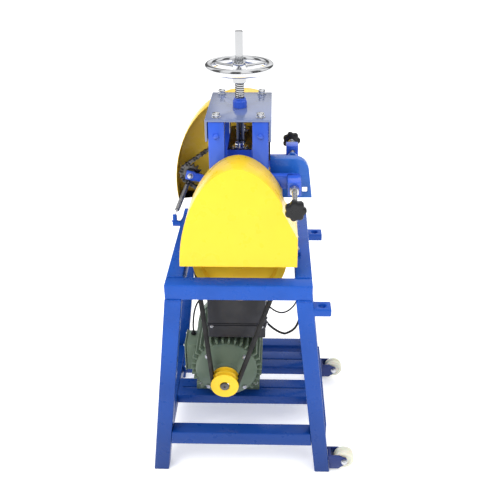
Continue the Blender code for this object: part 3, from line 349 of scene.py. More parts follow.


# The frame's blue darkens towards the floor: partly dust, partly painted shade.
blue = Enamel("blue_enamel", "blue_paint", srgb(24, 82, 178), roughness=0.3, coat=0.10,
              floor_dust_and_shade_share=0.45, chip_share=0.2, gloss=0.22)
head_blue = Enamel("head_blue_enamel", "blue_paint", srgb(50, 92, 208), roughness=0.2, coat=0.45)
# Pale grey-blue for the glossy bridge plate: partly painted sky reflection over the blue paint.
plate_blue_painted_reflection = Enamel("plate_blue_painted_reflection_enamel", "blue_paint", srgb(112, 126, 166), roughness=0.16,
                    coat=0.8, mottle_share=0.04)
guide_blue = Enamel("guide_blue_enamel", "blue_paint", srgb(40, 104, 198), roughness=0.25,
                    coat=0.2, gloss=0.25)
dark_blue = Enamel("dark_blue_enamel", "blue_paint", srgb(24, 46, 110), roughness=0.35, coat=0.2,
                   chip_share=0.3)
# The carriage's top is painted near-black: painted shade under the bridge plate.
slide_blue_painted_shade = Enamel("slide_painted_shade_enamel", "blue_paint", srgb(50, 92, 208), roughness=0.14, coat=0.25,
                    gloss=0.2, painted_shade_top_z=node_box("carriage").high.z - 0.0012)
yellow = Enamel("yellow_enamel", "yellow_paint", srgb(255, 213, 48), roughness=0.3, coat=0.2,
                mottle_share=0.02, peel=0.00003, gloss=0.25)
guard_inside = Enamel("far_guard_enamel", "yellow_paint", srgb(250, 208, 70), roughness=0.3,
                      coat=0.2, mottle_share=0.05)
pulley_yellow = Enamel("pulley_enamel", "yellow_paint", srgb(255, 206, 44), roughness=0.35,
                       coat=0.2, mottle_share=0.08, chip_share=0.5)
motor_green = Enamel("motor_enamel", "green_paint", srgb(104, 120, 102), roughness=0.42,
                     coat=0.1, mottle_share=0.12, peel=0.00016, chip_share=0.4)
black_coat = Enamel("black_coat", "black_paint", srgb(52, 52, 56), roughness=0.42, coat=0.0,
                    mottle_share=0.15, peel=0.0001)
chrome = Metal("chrome", "bright_steel", (0.80, 0.81, 0.83), roughness=0.09, mark_depth=0.000004,
               stain_share=0.08)
bright = Metal("bright_steel", "bright_steel", (0.62, 0.62, 0.63), roughness=0.2,
               stretch=(1.0, 1.0, 9.0))
zinc = Metal("zinc_plate", "bright_steel", (0.66, 0.67, 0.70), roughness=0.3, stain_share=0.3)
# Near-black navy steel for the spindle under the bridge plate: partly grease, partly painted
# shade.
greased_painted_shade = Metal("greased_painted_shade_steel", "dark_steel", (0.035, 0.042, 0.075), roughness=0.25,
                stain_share=0.3)
oiled = Metal("oiled_steel", "dark_steel", (0.16, 0.155, 0.15), roughness=0.34, stain_share=0.5)
spring_wire = Metal("spring_steel", "bright_steel", (0.36, 0.36, 0.37), roughness=0.26)
iron = Metal("machined_iron", "cast_iron", (0.30, 0.30, 0.31), roughness=0.38, stain_share=0.4,
             mark_depth=0.00005)
knob_black = Moulding("knob_plastic", "black_plastic", (0.012, 0.012, 0.014), roughness=0.3,
                      dust_share=0.03)
rubber = Moulding("belt_rubber", "black_rubber", (0.016, 0.016, 0.017), roughness=0.6,
                  dust_share=0.16)
cable_black = Moulding("cable_sheath", "black_rubber", (0.014, 0.014, 0.015), roughness=0.4,
                       dust_share=0.05)
nylon = Moulding("wheel_nylon", "nylon", srgb(226, 226, 208), roughness=0.38, glow=0.15,
                 dust=(0.42, 0.38, 0.28), dust_share=0.35)


class Shape:
    """A mesh under construction, at its place in the machine."""

    def __init__(self) -> None:
        """Start with no faces."""
        self.mesh = bmesh.new()

    def lattice(self, rings: Sequence[Sequence[Vector]], closed: bool) -> "Shape":
        """Skin a row of equal rings of points, and cap the ends unless the row is closed."""
        made = [[self.mesh.verts.new(point) for point in ring] for ring in rings]
        spans = len(made) if closed else len(made) - 1
        for i in range(spans):
            first, second = made[i], made[(i + 1) % len(made)]
            for k in range(len(first)):
                n = (k + 1) % len(first)
                self.mesh.faces.new((first[k], first[n], second[n], second[k]))
        if not closed:
            self.mesh.faces.new(made[0])
            self.mesh.faces.new(made[-1])
        return self

    def prism(self, outline: Outline, axis: str, low: float, high: float) -> "Shape":
        """Draw an outline out along an axis."""
        order = {"X": lambda a, b, c: Vector((c, a, b)), "Y": lambda a, b, c: Vector((a, c, b)),
                 "Z": lambda a, b, c: Vector((a, b, c))}[axis]
        return self.lattice([[order(a, b, c) for a, b in outline] for c in (low, high)], False)

    def block(self, low: Vector, high: Vector) -> "Shape":
        """A block between two corners."""
        corners = [(low.x, low.y), (high.x, low.y), (high.x, high.y), (low.x, high.y)]
        return self.prism(corners, "Z", low.z, high.z)

    def turned(self, profile: Outline, place: Matrix, sides: int = 48) -> "Shape":
        """Turn a closed profile of (radius, height) points about a placement's Z."""
        rings = []
        for k in range(sides):
            angle = 2 * math.pi * k / sides
            rings.append([place @ Vector((r * math.cos(angle), r * math.sin(angle), h))
                          for r, h in profile])
        return self.lattice(rings, True)

    def rod(self, place: Matrix, length: float, diameter: float, sides: int = 32,
            chamfer: float = 0.0) -> "Shape":
        """A rod from a placement along its Z, with chamfered ends."""
        radius = diameter / 2
        profile = [(0.0, 0.0), (radius - chamfer, 0.0), (radius, chamfer),
                   (radius, length - chamfer), (radius - chamfer, length), (0.0, length)]
        return self.turned(profile, place, sides)

    def nut(self, place: Matrix, across: float, height: float, bore: float = 0.0) -> "Shape":
        """A hexagon across its flats, with turned corners, from a placement along its Z."""
        inner, outer = bore / 2, across / math.sqrt(3)
        lean = (outer - across / 2) * 0.8
        rings = []
        for k in range(24):
            angle = 2 * math.pi * k / 24
            edge = across / 2 / math.cos((angle + math.pi / 6) % (math.pi / 3) - math.pi / 6)
            rim = min(edge, outer - lean)
            ring = [(inner, 0.0), (rim, 0.0), (edge, lean * 0.5), (edge, height - lean * 0.5),
                    (rim, height), (inner, height)]
            rings.append([place @ Vector((r * math.cos(angle), r * math.sin(angle), h))
                          for r, h in ring])
        return self.lattice(rings, True)

    def tube(self, points: Sequence[Vector], diameter: float, sides: int = 12,
             closed: bool = False) -> "Shape":
        """A round tube along points."""
        section = [(diameter / 2 * math.cos(2 * math.pi * k / sides),
                    diameter / 2 * math.sin(2 * math.pi * k / sides)) for k in range(sides)]
        return self.swept(points, section, closed)

    def swept(self, points: Sequence[Vector], section: Outline, closed: bool,
              up: Vector | None = None) -> "Shape":
        """A section of (across, up) points carried along a path without twist."""
        count, rings = len(points), []
        side = None
        for i, point in enumerate(points):
            after = points[(i + 1) % count] if closed or i + 1 < count else point
            before = points[i - 1] if closed or i else point
            heading = (after - before).normalized()
            if up is not None:
                side = heading.cross(up).normalized()
            elif side is None:
                side = heading.orthogonal().normalized()
            side = (side - heading * side.dot(heading)).normalized()
            rise = side.cross(heading)
            rings.append([point + side * a + rise * b for a, b in section])
        return self.lattice(rings, closed)

    def dome(self, place: Matrix, diameter: float, height: float, sides: int = 32) -> "Shape":
        """A low dome standing on a placement."""
        steps = 8
        profile = [(0.0, 0.0)]
        for k in range(steps + 1):
            angle = math.pi / 2 * k / steps
            profile.append((diameter / 2 * math.cos(angle), height * math.sin(angle)))
        return self.turned(profile, place, sides)

    def copy_node(self, name: str) -> "Shape":
        """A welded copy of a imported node, its flat faces joined up."""
        self.mesh.from_mesh(frame["nodes"][name].data)
        bmesh.ops.remove_doubles(self.mesh, verts=self.mesh.verts, dist=0.000002)
        bmesh.ops.dissolve_limit(self.mesh, angle_limit=math.radians(0.5),
                                 verts=self.mesh.verts, edges=self.mesh.edges)
        return self

    def closed(self) -> bpy.types.Mesh:
        """End the shape as a mesh with its faces pointing out."""
        bmesh.ops.remove_doubles(self.mesh, verts=self.mesh.verts, dist=0.000002)
        bmesh.ops.dissolve_degenerate(self.mesh, edges=self.mesh.edges, dist=0.000001)
        bmesh.ops.recalc_face_normals(self.mesh, faces=self.mesh.faces)
        made = bpy.data.meshes.new("shape")
        self.mesh.to_mesh(made)
        self.mesh.free()
        return made


def shown(name: str, mesh: bpy.types.Mesh, finish: Finish, body: Body,
          stands_for: Sequence[str] = (), bevel: float = 0.0, segments: int = 2,
          angle: float = 32.0) -> bpy.types.Object:
    """Show a finished mesh as a piece of the machine.

    Args:
        name: the piece's name.
        mesh: its mesh, in place.
        finish: its finish.
        body: the body that it rides on.
        stands_for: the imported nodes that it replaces.
        bevel: how far its sharp edges are rounded.
        segments: how many faces round an edge.
        angle: the least angle of an edge that stays sharp, in degrees.

    Returns:
        The piece.
    """
    made = bpy.data.objects.new(name, mesh)
    bpy.context.scene.collection.objects.link(made)
    if bevel > 0.0:
        edge = made.modifiers.new("edge", "BEVEL")
        edge.width, edge.segments, edge.limit_method = bevel, segments, "ANGLE"
        edge.angle_limit, edge.use_clamp_overlap = math.radians(angle), False
        made = applied(made)
    made.data.shade_smooth()
    made.data.set_sharp_from_angle(angle=math.radians(angle))
    made.data.materials.clear()
    made.data.materials.append(finish.material())
    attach(made, body.value)
    if stands_for:
        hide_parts(*stands_for)
    log.info("%s: %d faces, %s on %s", name, len(made.data.polygons), finish.name, body.value)
    return made


def applied(source: bpy.types.Object) -> bpy.types.Object:
    """Turn an object with modifiers into a plain mesh object of the same name."""
    graph = bpy.context.evaluated_depsgraph_get()
    mesh = bpy.data.meshes.new_from_object(source.evaluated_get(graph))
    name = source.name
    bpy.data.objects.remove(source, do_unlink=True)
    made = bpy.data.objects.new(name, mesh)
    bpy.context.scene.collection.objects.link(made)
    return made


def carved(mesh: bpy.types.Mesh, cutters: Sequence[bpy.types.Mesh]) -> bpy.types.Mesh:
    """Cut closed meshes out of another."""
    target = bpy.data.objects.new("carved", mesh)
    bpy.context.scene.collection.objects.link(target)
    tools = []
    for cutter in cutters:
        tool = bpy.data.objects.new("cutter", cutter)
        bpy.context.scene.collection.objects.link(tool)
        step = target.modifiers.new("cut", "BOOLEAN")
        step.operation, step.object = "DIFFERENCE", tool
        tools.append(tool)
    made = applied(target)
    for tool in tools:
        bpy.data.objects.remove(tool, do_unlink=True)
    kept = made.data
    bpy.data.objects.remove(made, do_unlink=True)
    return kept


def rounded(node: str, finish: Finish, body: Body, bevel: float, segments: int = 2) -> None:
    """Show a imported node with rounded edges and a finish."""
    shown(f"{node}_finished", Shape().copy_node(node).closed(), finish, body, (node,), bevel,
          segments)


class Growth:
    """A Geometry Nodes tree under construction, with named sizes as its inputs."""

    def __init__(self, name: str) -> None:
        """Start a tree that takes and gives geometry."""
        self.tree = bpy.data.node_groups.new(name, "GeometryNodeTree")
        self.tree.interface.new_socket("Geometry", in_out="INPUT",
                                       socket_type="NodeSocketGeometry")
        self.tree.interface.new_socket("Geometry", in_out="OUTPUT",
                                       socket_type="NodeSocketGeometry")
        self.source = self.tree.nodes.new("NodeGroupInput")
        self.sink = self.tree.nodes.new("NodeGroupOutput")
        self.values: dict[str, float] = {}

    def size(self, name: str, value: float) -> bpy.types.NodeSocket:
        """Add a named size, and return it as a socket."""
        made = self.tree.interface.new_socket(name, in_out="INPUT",
                                              socket_type="NodeSocketFloat")
        self.values[made.identifier] = value
        return self.source.outputs[name]

    def add(self, kind: str, inputs: dict, **settings: object) -> bpy.types.Node:
        """Add a node of a full type name, with values or sockets by input name or number."""
        node = self.tree.nodes.new(kind)
        for key, value in settings.items():
            setattr(node, key, value)
        for key, value in inputs.items():
            if isinstance(value, bpy.types.NodeSocket):
                self.tree.links.new(value, node.inputs[key])
            else:
                node.inputs[key].default_value = value
        return node

    def math(self, operation: str, first, second) -> bpy.types.NodeSocket:
        """A sum of two values."""
        return self.add("ShaderNodeMath", {0: first, 1: second}, operation=operation).outputs[0]

    def lifted(self, geometry, height) -> bpy.types.NodeSocket:
        """Geometry raised along Z."""
        offset = self.add("ShaderNodeCombineXYZ", {"Z": height}).outputs[0]
        return self.add("GeometryNodeTransform", {"Geometry": geometry,
                                                  "Translation": offset}).outputs[0]

    def drum(self, sides: int, radius, depth, base=0.0) -> bpy.types.NodeSocket:
        """A cylinder standing at a height."""
        made = self.add("GeometryNodeMeshCylinder", {"Vertices": sides, "Radius": radius,
                                                     "Depth": depth})
        middle = self.math("MULTIPLY_ADD", depth, 0.5)
        self.tree.nodes[-1].inputs[2].default_value = 0.0
        if isinstance(base, bpy.types.NodeSocket):
            self.tree.links.new(base, self.tree.nodes[-1].inputs[2])
        else:
            self.tree.nodes[-1].inputs[2].default_value = base
        return self.lifted(made.outputs[0], middle)

    def joined(self, parts: Sequence[bpy.types.NodeSocket]) -> bpy.types.NodeSocket:
        """Several geometries as one."""
        node = self.tree.nodes.new("GeometryNodeJoinGeometry")
        for part in parts:
            self.tree.links.new(part, node.inputs[0])
        return node.outputs[0]

    def spread(self, points, instance, selection=None, spin: float = 0.0, seed: int = 3):
        """Put a copy on each point, its Z along the point's direction, turned at random."""
        aim = self.add("GeometryNodeInputNamedAttribute", {"Name": "direction"},
                       data_type="FLOAT_VECTOR").outputs[0]
        turn = self.add("FunctionNodeAlignRotationToVector", {"Vector": aim},
                        axis="Z").outputs[0]
        if spin > 0.0:
            chance = self.add("FunctionNodeRandomValue", {2: -spin, 3: spin, "Seed": seed},
                              data_type="FLOAT").outputs[1]
            around = self.add("ShaderNodeCombineXYZ", {"Z": chance}).outputs[0]
            about = self.add("FunctionNodeEulerToRotation", {0: around}).outputs[0]
            turn = self.add("FunctionNodeRotateRotation", {0: turn, 1: about},
                            rotation_space="LOCAL").outputs[0]
        inputs = {"Points": points, "Instance": instance, "Rotation": turn}
        if selection is not None:
            inputs["Selection"] = selection
        return self.add("GeometryNodeInstanceOnPoints", inputs).outputs[0]

    def grown(self, geometry, finish: Finish, points: Sequence[Vector],
              directions: Sequence[Vector], edges: Sequence[tuple[int, int]] = ()
              ) -> bpy.types.Mesh:
        """End the tree, run it on points and return the plain mesh.

        Args:
            geometry: the socket that the tree gives out.
            finish: the finish of every face.
            points: where it starts.
            directions: one direction for each point.
            edges: pairs of points that are joined.

        Returns:
            The grown mesh, with nothing left live on it.
        """
        real = self.add("GeometryNodeRealizeInstances", {0: geometry}).outputs[0]
        painted = self.add("GeometryNodeSetMaterial", {"Geometry": real,
                                                       "Material": finish.material()})
        self.tree.links.new(painted.outputs[0], self.sink.inputs[0])
        seed = bpy.data.meshes.new("seed")
        seed.from_pydata([tuple(point) for point in points], list(edges), [])
        aim = seed.attributes.new("direction", "FLOAT_VECTOR", "POINT")
        aim.data.foreach_set("vector", [value for d in directions for value in d])
        host = bpy.data.objects.new("host", seed)
        bpy.context.scene.collection.objects.link(host)
        step = host.modifiers.new("grow", "NODES")
        step.node_group = self.tree
        for identifier, value in self.values.items():
            step[identifier] = value
        made = applied(host)
        mesh = made.data
        bpy.data.objects.remove(made, do_unlink=True)
        return mesh


@dataclass
class Fasteners:
    """A set of like bolts, nuts or screws on one body.

    Each seat is the place under the head and the direction in which the head stands up.
    """

    name: str
    seats: list[tuple[Vector, Sequence[float]]]
    head: Head = Head.HEX_BOLT
    across: float = 0.013
    height: float = 0.0055
    washer: float = 0.017
    washer_thickness: float = 0.0014
    stud: float = 0.008
    stud_length: float = 0.012
    finish: Finish = zinc
    body: Body = Body.ROOT
    spin: float = 0.5

    def show(self) -> None:
        """Grow the whole set as one piece."""
        grow = Growth(f"{self.name}_tree")
        thickness = grow.size("Washer thickness", self.washer_thickness)
        across = grow.size("Across", self.across)
        height = grow.size("Head height", self.height)
        washer = grow.size("Washer diameter", self.washer)
        parts = [grow.drum(32, grow.math("MULTIPLY", washer, 0.5), thickness)]
        if self.head in (Head.HEX_BOLT, Head.NUT_ON_STUD, Head.DOMED_BOLT):
            body_height = grow.math("MULTIPLY", height, 0.8)
            parts.append(grow.drum(6, grow.math("MULTIPLY", across, 1 / math.sqrt(3)),
                                   body_height, thickness))
            top = grow.math("ADD", thickness, body_height)
            cone = grow.add("GeometryNodeMeshCone", {
                "Vertices": 24, "Radius Top": grow.math("MULTIPLY", across, 0.44),
                "Radius Bottom": grow.math("MULTIPLY", across, 0.545),
                "Depth": grow.math("MULTIPLY", height, 0.2)}).outputs[0]
            parts.append(grow.lifted(cone, top))
        if self.head in (Head.DOMED_BOLT, Head.PAN_SCREW):
            ball = grow.add("GeometryNodeMeshUVSphere", {
                "Segments": 24, "Rings": 12, "Radius": grow.math("MULTIPLY", across, 0.5)})
            flat = 0.75 if self.head is Head.PAN_SCREW else 0.62
            squeezed = grow.add("GeometryNodeTransform", {
                "Geometry": ball.outputs[0], "Scale": (0.96, 0.96, flat)}).outputs[0]
            base = grow.math("MULTIPLY", height, 0.55 if self.head is Head.DOMED_BOLT else 0.1)
            parts.append(grow.lifted(squeezed, grow.math("ADD", base, thickness)))
        if self.head is Head.NUT_ON_STUD:
            stud = grow.size("Stud diameter", self.stud)
            reach = grow.size("Stud length", self.stud_length)
            parts.append(grow.drum(20, grow.math("MULTIPLY", stud, 0.5), reach))
        spread = grow.spread(grow.source.outputs[0], grow.joined(parts), spin=self.spin)
        mesh = grow.grown(spread, self.finish, [seat for seat, _ in self.seats],
                          [Vector(d).normalized() for _, d in self.seats])
        shown(self.name, mesh, self.finish, self.body, bevel=0.0003, segments=1, angle=40.0)


@dataclass
class WeldBeads:
    """Runs of weld along joints of the stand, each from one point to another."""

    name: str
    runs: list[tuple[Vector, Vector]]
    pitch: float = 0.0028
    width: float = 0.0052
    height: float = 0.0036
    finish: Finish = blue

    def show(self) -> None:
        """Grow the ripples of every run as one piece."""
        grow = Growth(f"{self.name}_tree")
        pitch = grow.size("Ripple pitch", self.pitch)
        width = grow.size("Bead width", self.width)
        height = grow.size("Bead height", self.height)
        curve = grow.add("GeometryNodeMeshToCurve", {0: grow.source.outputs[0]}).outputs[0]
        ripples = grow.add("GeometryNodeResampleCurve", {"Curve": curve, "Length": pitch},
                           mode="LENGTH").outputs[0]
        ball = grow.add("GeometryNodeMeshIcoSphere", {"Radius": 0.5, "Subdivisions": 2})
        aim = grow.add("GeometryNodeInputTangent", {}).outputs[0]
        turn = grow.add("FunctionNodeAlignRotationToVector", {"Vector": aim}, axis="X")
        scale = grow.add("ShaderNodeCombineXYZ", {"X": grow.math("MULTIPLY", pitch, 1.7),
                                                  "Y": width, "Z": height}).outputs[0]
        chance = grow.add("FunctionNodeRandomValue", {2: 0.8, 3: 1.2, "Seed": 11},
                          data_type="FLOAT").outputs[1]
        varied = grow.add("ShaderNodeVectorMath", {0: scale, "Scale": chance},
                          operation="SCALE").outputs[0]
        beads = grow.add("GeometryNodeInstanceOnPoints", {
            "Points": ripples, "Instance": ball.outputs[0], "Rotation": turn.outputs[0],
            "Scale": varied}).outputs[0]
        points = [point for run in self.runs for point in run]
        edges = [(2 * i, 2 * i + 1) for i in range(len(self.runs))]
        mesh = grow.grown(beads, self.finish, points, [Vector((0, 0, 1))] * len(points), edges)
        shown(self.name, mesh, self.finish, Body.ROOT, angle=60.0)


@dataclass
class Studio:
    """The floor, the lamps and the camera of the picture."""

    focal_pixels: float = 709.3
    picture_pixels: float = 500.0
    sensor: float = 36.0
    pitch_degrees: float = 27.78
    yaw_degrees: float = -2.10
    roll_degrees: float = 0.54
    eye: tuple[float, float, float] = (0.0805, -1.6342, 1.4212)
    floor_half: float = 30.0
    floor_glow: float = 0.34
    sky_strength: float = 1.15
    horizon_strength: float = 0.45
    band_waves: float = 5.0
    band_turn: float = 0.7
    dark_band: float = 0.16
    bright_band: float = 1.15

    def show(self) -> None:
        """Set the floor, the world, the lamps and the camera."""
        self.floor()
        self.world()
        self.lamp("key", (-1.4, -2.0, 3.4), 1.6, 52.0)
        self.lamp("fill", (2.4, -1.8, 2.6), 1.6, 14.0)
        self.lamp("back", (0.6, 2.2, 3.2), 1.8, 26.0)
        self.camera()
        bpy.context.scene.view_settings.view_transform = "Standard"

    def floor(self) -> None:
        """A plain pale floor that keeps the machine's shadow."""
        half = self.floor_half
        mesh = bpy.data.meshes.new("floor")
        mesh.from_pydata([(-half, -half, 0), (half, -half, 0), (half, half, 0),
                          (-half, half, 0)], [], [(0, 1, 2, 3)])
        floor = bpy.data.objects.new("floor", mesh)
        bpy.context.scene.collection.objects.link(floor)
        tree = MaterialTree("floor_white")
        shade = tree.remap(tree.noise(0.5, 2.0), 0.3, 0.7, 0.96, 1.0)
        tint = tree.blend(shade, (0.9, 0.9, 0.9), (0.97, 0.97, 0.97))
        tree.set(Base_Color=tint, Roughness=0.9, Specular_IOR_Level=0.0,
                 Emission_Color=(1.0, 1.0, 1.0, 1.0), Emission_Strength=self.floor_glow)
        mesh.materials.append(tree.material)

    def world(self) -> None:
        """A room that is brighter above, banded in reflections, and white where it is seen."""
        world = bpy.data.worlds.new("studio")
        world.use_nodes = True
        bpy.context.scene.world = world
        tree = world.node_tree

        def add(kind: str, *inputs: object, **settings: object) -> bpy.types.NodeSocket:
            node = tree.nodes.new("ShaderNode" + kind)
            for key, value in settings.items():
                setattr(node, key, value)
            for i, value in enumerate(inputs):
                if isinstance(value, bpy.types.NodeSocket):
                    tree.links.new(value, node.inputs[i])
                elif value is not None:
                    node.inputs[i].default_value = value
            return node.outputs[0]

        place = tree.nodes.new("ShaderNodeTexCoord").outputs["Generated"]
        split = tree.nodes.new("ShaderNodeSeparateXYZ")
        tree.links.new(place, split.inputs[0])
        across, along, up = split.outputs
        light = add("MapRange", up, -0.05, 0.85, self.horizon_strength, self.sky_strength)
        turn = add("Math", across, along, operation="ARCTAN2")
        wave = add("Math", add("Math", turn, self.band_waves, self.band_turn,
                               operation="MULTIPLY_ADD"),
                   operation="SINE")
        bands = add("MapRange", wave, -0.35, 0.25, self.dark_band, self.bright_band)
        high = add("MapRange", up, 0.62, 0.95, 0.0, 1.0)
        side = add("MapRange", up, -0.2, 0.35, 0.10, 0.85)
        mirrored = add("Math", add("Math", side, bands, operation="MULTIPLY"), high,
                       operation="MAXIMUM")
        ray = tree.nodes.new("ShaderNodeLightPath")
        seen = add("Math", ray.outputs["Is Camera Ray"], ray.outputs["Is Transmission Ray"],
                   operation="MAXIMUM")
        lit = add("Mix", ray.outputs["Is Glossy Ray"], None, light, mirrored)
        shown_white = add("Mix", seen, None, lit, 1.0)
        back = tree.nodes["Background"]
        tree.links.new(shown_white, back.inputs["Strength"])
        back.inputs["Color"].default_value = (1.0, 1.0, 1.0, 1.0)

    def lamp(self, name: str, eye: Sequence[float], size: float, power: float) -> None:
        """A square soft lamp that looks at the head of the machine."""
        data = bpy.data.lights.new(name, "AREA")
        data.size, data.energy = size, power
        lamp = bpy.data.objects.new(name, data)
        lamp.visible_glossy = False
        lamp.location = at(*eye)
        aim = at(0.0, 0.0, 0.6) - lamp.location
        lamp.rotation_euler = aim.to_track_quat("-Z", "Y").to_euler()
        bpy.context.scene.collection.objects.link(lamp)

    def camera(self) -> None:
        """The camera of the photograph's view."""
        pitch, yaw, roll = (math.radians(v) for v in (self.pitch_degrees, self.yaw_degrees,
                                                      self.roll_degrees))
        forward = Vector((math.sin(yaw) * math.cos(pitch), math.cos(yaw) * math.cos(pitch),
                          -math.sin(pitch)))
        right = Vector((math.cos(yaw), -math.sin(yaw), 0.0))
        down = forward.cross(right)
        across = right * math.cos(roll) + down * math.sin(roll)
        below = down * math.cos(roll) - right * math.sin(roll)
        turn = Matrix((across, -below, -forward)).transposed()
        data = bpy.data.cameras.new("camera")
        data.sensor_width = self.sensor
        data.lens = self.focal_pixels / self.picture_pixels * self.sensor
        camera = bpy.data.objects.new("camera", data)
        camera.matrix_world = Matrix.Translation(at(*self.eye)) @ turn.to_4x4()
        bpy.context.scene.collection.objects.link(camera)
        bpy.context.scene.camera = camera


@dataclass
class Stand:
    """The welded tube stand with its motor rails and transport wheels."""

    edge: float = 0.0030
    rail_edge: float = 0.0012
    bead: float = 0.006
    axle: float = 0.010
    tubes: tuple[str, ...] = (
        "leg_near_left", "leg_near_right", "leg_far_left", "leg_far_right",
        "top_rail_near", "top_rail_far", "top_rail_left", "top_rail_right",
        "low_rail_near", "low_rail_far", "low_rail_left", "low_rail_right")

    def show(self) -> None:
        """Dress the tubes, weld them and hang the wheels."""
        for node in self.tubes:
            rounded(node, blue, Body.ROOT, self.edge, 3)
        for node in ("motor_rail_near", "motor_rail_far"):
            rounded(node, blue, Body.ROOT, self.rail_edge)
        self.welds()
        for row, body in (("near", Body.NEAR_WHEEL), ("far", Body.FAR_WHEEL)):
            rounded(f"wheel_fork_{row}", dark_blue, Body.ROOT, 0.0008)
            self.wheel(row, body)

    def welds(self) -> None:
        """Beads along the joints of the table and of the low rails."""
        runs = []
        lift = Vector((0.0, 0.0, 0.0004))
        for row, out in (("near", -1.0), ("far", 1.0)):
            cross = node_box(f"top_rail_{row}")
            face = cross.high.y if out < 0 else cross.low.y
            for side, turn in (("left", -1.0), ("right", 1.0)):
                long = node_box(f"top_rail_{side}")
                outer = max(cross.low.x, long.low.x) if turn < 0 else long.high.x
                inner = outer - turn * (cross.high.z - cross.low.z)
                runs.append((Vector((outer - turn * self.bead, face, cross.high.z)) + lift,
                             Vector((inner, face, cross.high.z)) + lift))
                leg = node_box(f"leg_{row}_{side}")
                top = leg.high.z
                front = cross.low.y if out < 0 else cross.high.y
                runs.append((Vector((outer - turn * self.bead, front, top)),
                             Vector((inner + turn * self.bead, front, top))))
                low = node_box(f"low_rail_{row}")
                end = low.low.x if turn < 0 else low.high.x
                for height in (low.low.z, low.high.z):
                    lean = (low.high.z - height) * 0.19 * turn
                    runs.append((Vector((end + lean, low.low.y + self.bead, height)),
                                 Vector((end + lean, low.high.y - self.bead, height))))
        WeldBeads("table_welds", runs).show()
        runs = []
        for row in ("near", "far"):
            fork, wheel = node_box(f"wheel_fork_{row}"), node_box(f"transport_wheel_{row}")
            back = fork.low.x + (fork.high.z - fork.low.z) * 0.10
            for y in (fork.low.y + 0.004, fork.high.y - 0.004):
                runs.append((Vector((back + 0.004, y, fork.low.z + 0.004)),
                             Vector((back - 0.003, y, fork.high.z - 0.006))))
            log.info("wheel %s stands %.1f mm over the floor", row, wheel.low.z * 1000)
        WeldBeads("fork_welds", runs, finish=dark_blue, width=0.004, height=0.003).show()

    def wheel(self, row: str, body: Body) -> None:
        """A grooved nylon wheel with a bearing, and the bolt that it turns on."""
        box = node_box(f"transport_wheel_{row}")
        place = facing(Vector((box.centre.x, box.low.y, box.centre.z)), (0, 1, 0))
        radius, width = box.size.z / 2, box.size.y
        bore = self.axle / 2 + 0.0006
        step, groove, round_off = 0.0016, 0.0042, 0.0022
        profile = [(bore, 0.003), (radius * 0.36, 0.003), (radius * 0.36, step),
                   (radius * 0.62, step), (radius * 0.68, 0.0), (radius - round_off, 0.0),
                   (radius - round_off * 0.3, round_off * 0.3), (radius, round_off),
                   (radius, width / 2 - groove)]
        for k in range(9):
            angle = math.pi * k / 8
            profile.append((radius - 0.0034 * math.sin(angle),
                            width / 2 - groove * math.cos(angle)))
        profile += [(r, width - h) for r, h in reversed(profile[:9])]
        shown(f"wheel_tread_{row}", Shape().turned(profile, place, 64).closed(), nylon, body,
              (f"transport_wheel_{row}",))
        cap = Shape()
        for low in (box.low.y + 0.0005, box.high.y - 0.0025):
            cap.turned([(bore, 0.0), (radius * 0.34, 0.0), (radius * 0.34, 0.002), (bore, 0.002)],
                       facing(Vector((box.centre.x, low, box.centre.z)), (0, 1, 0)), 40)
        shown(f"wheel_bearing_{row}", cap.closed(), zinc, body, bevel=0.0003)
        fork = node_box(f"wheel_fork_{row}")
        seats = [(Vector((box.centre.x, fork.low.y + 0.0036, box.centre.z)), (0, -1, 0)),
                 (Vector((box.centre.x, fork.high.y - 0.0036, box.centre.z)), (0, 1, 0))]
        Fasteners(f"axle_nuts_{row}", seats, Head.NUT_ON_STUD, across=0.013, height=0.0045,
                  washer=0.016, washer_thickness=0.001, stud=0.0085, stud_length=0.0072).show()


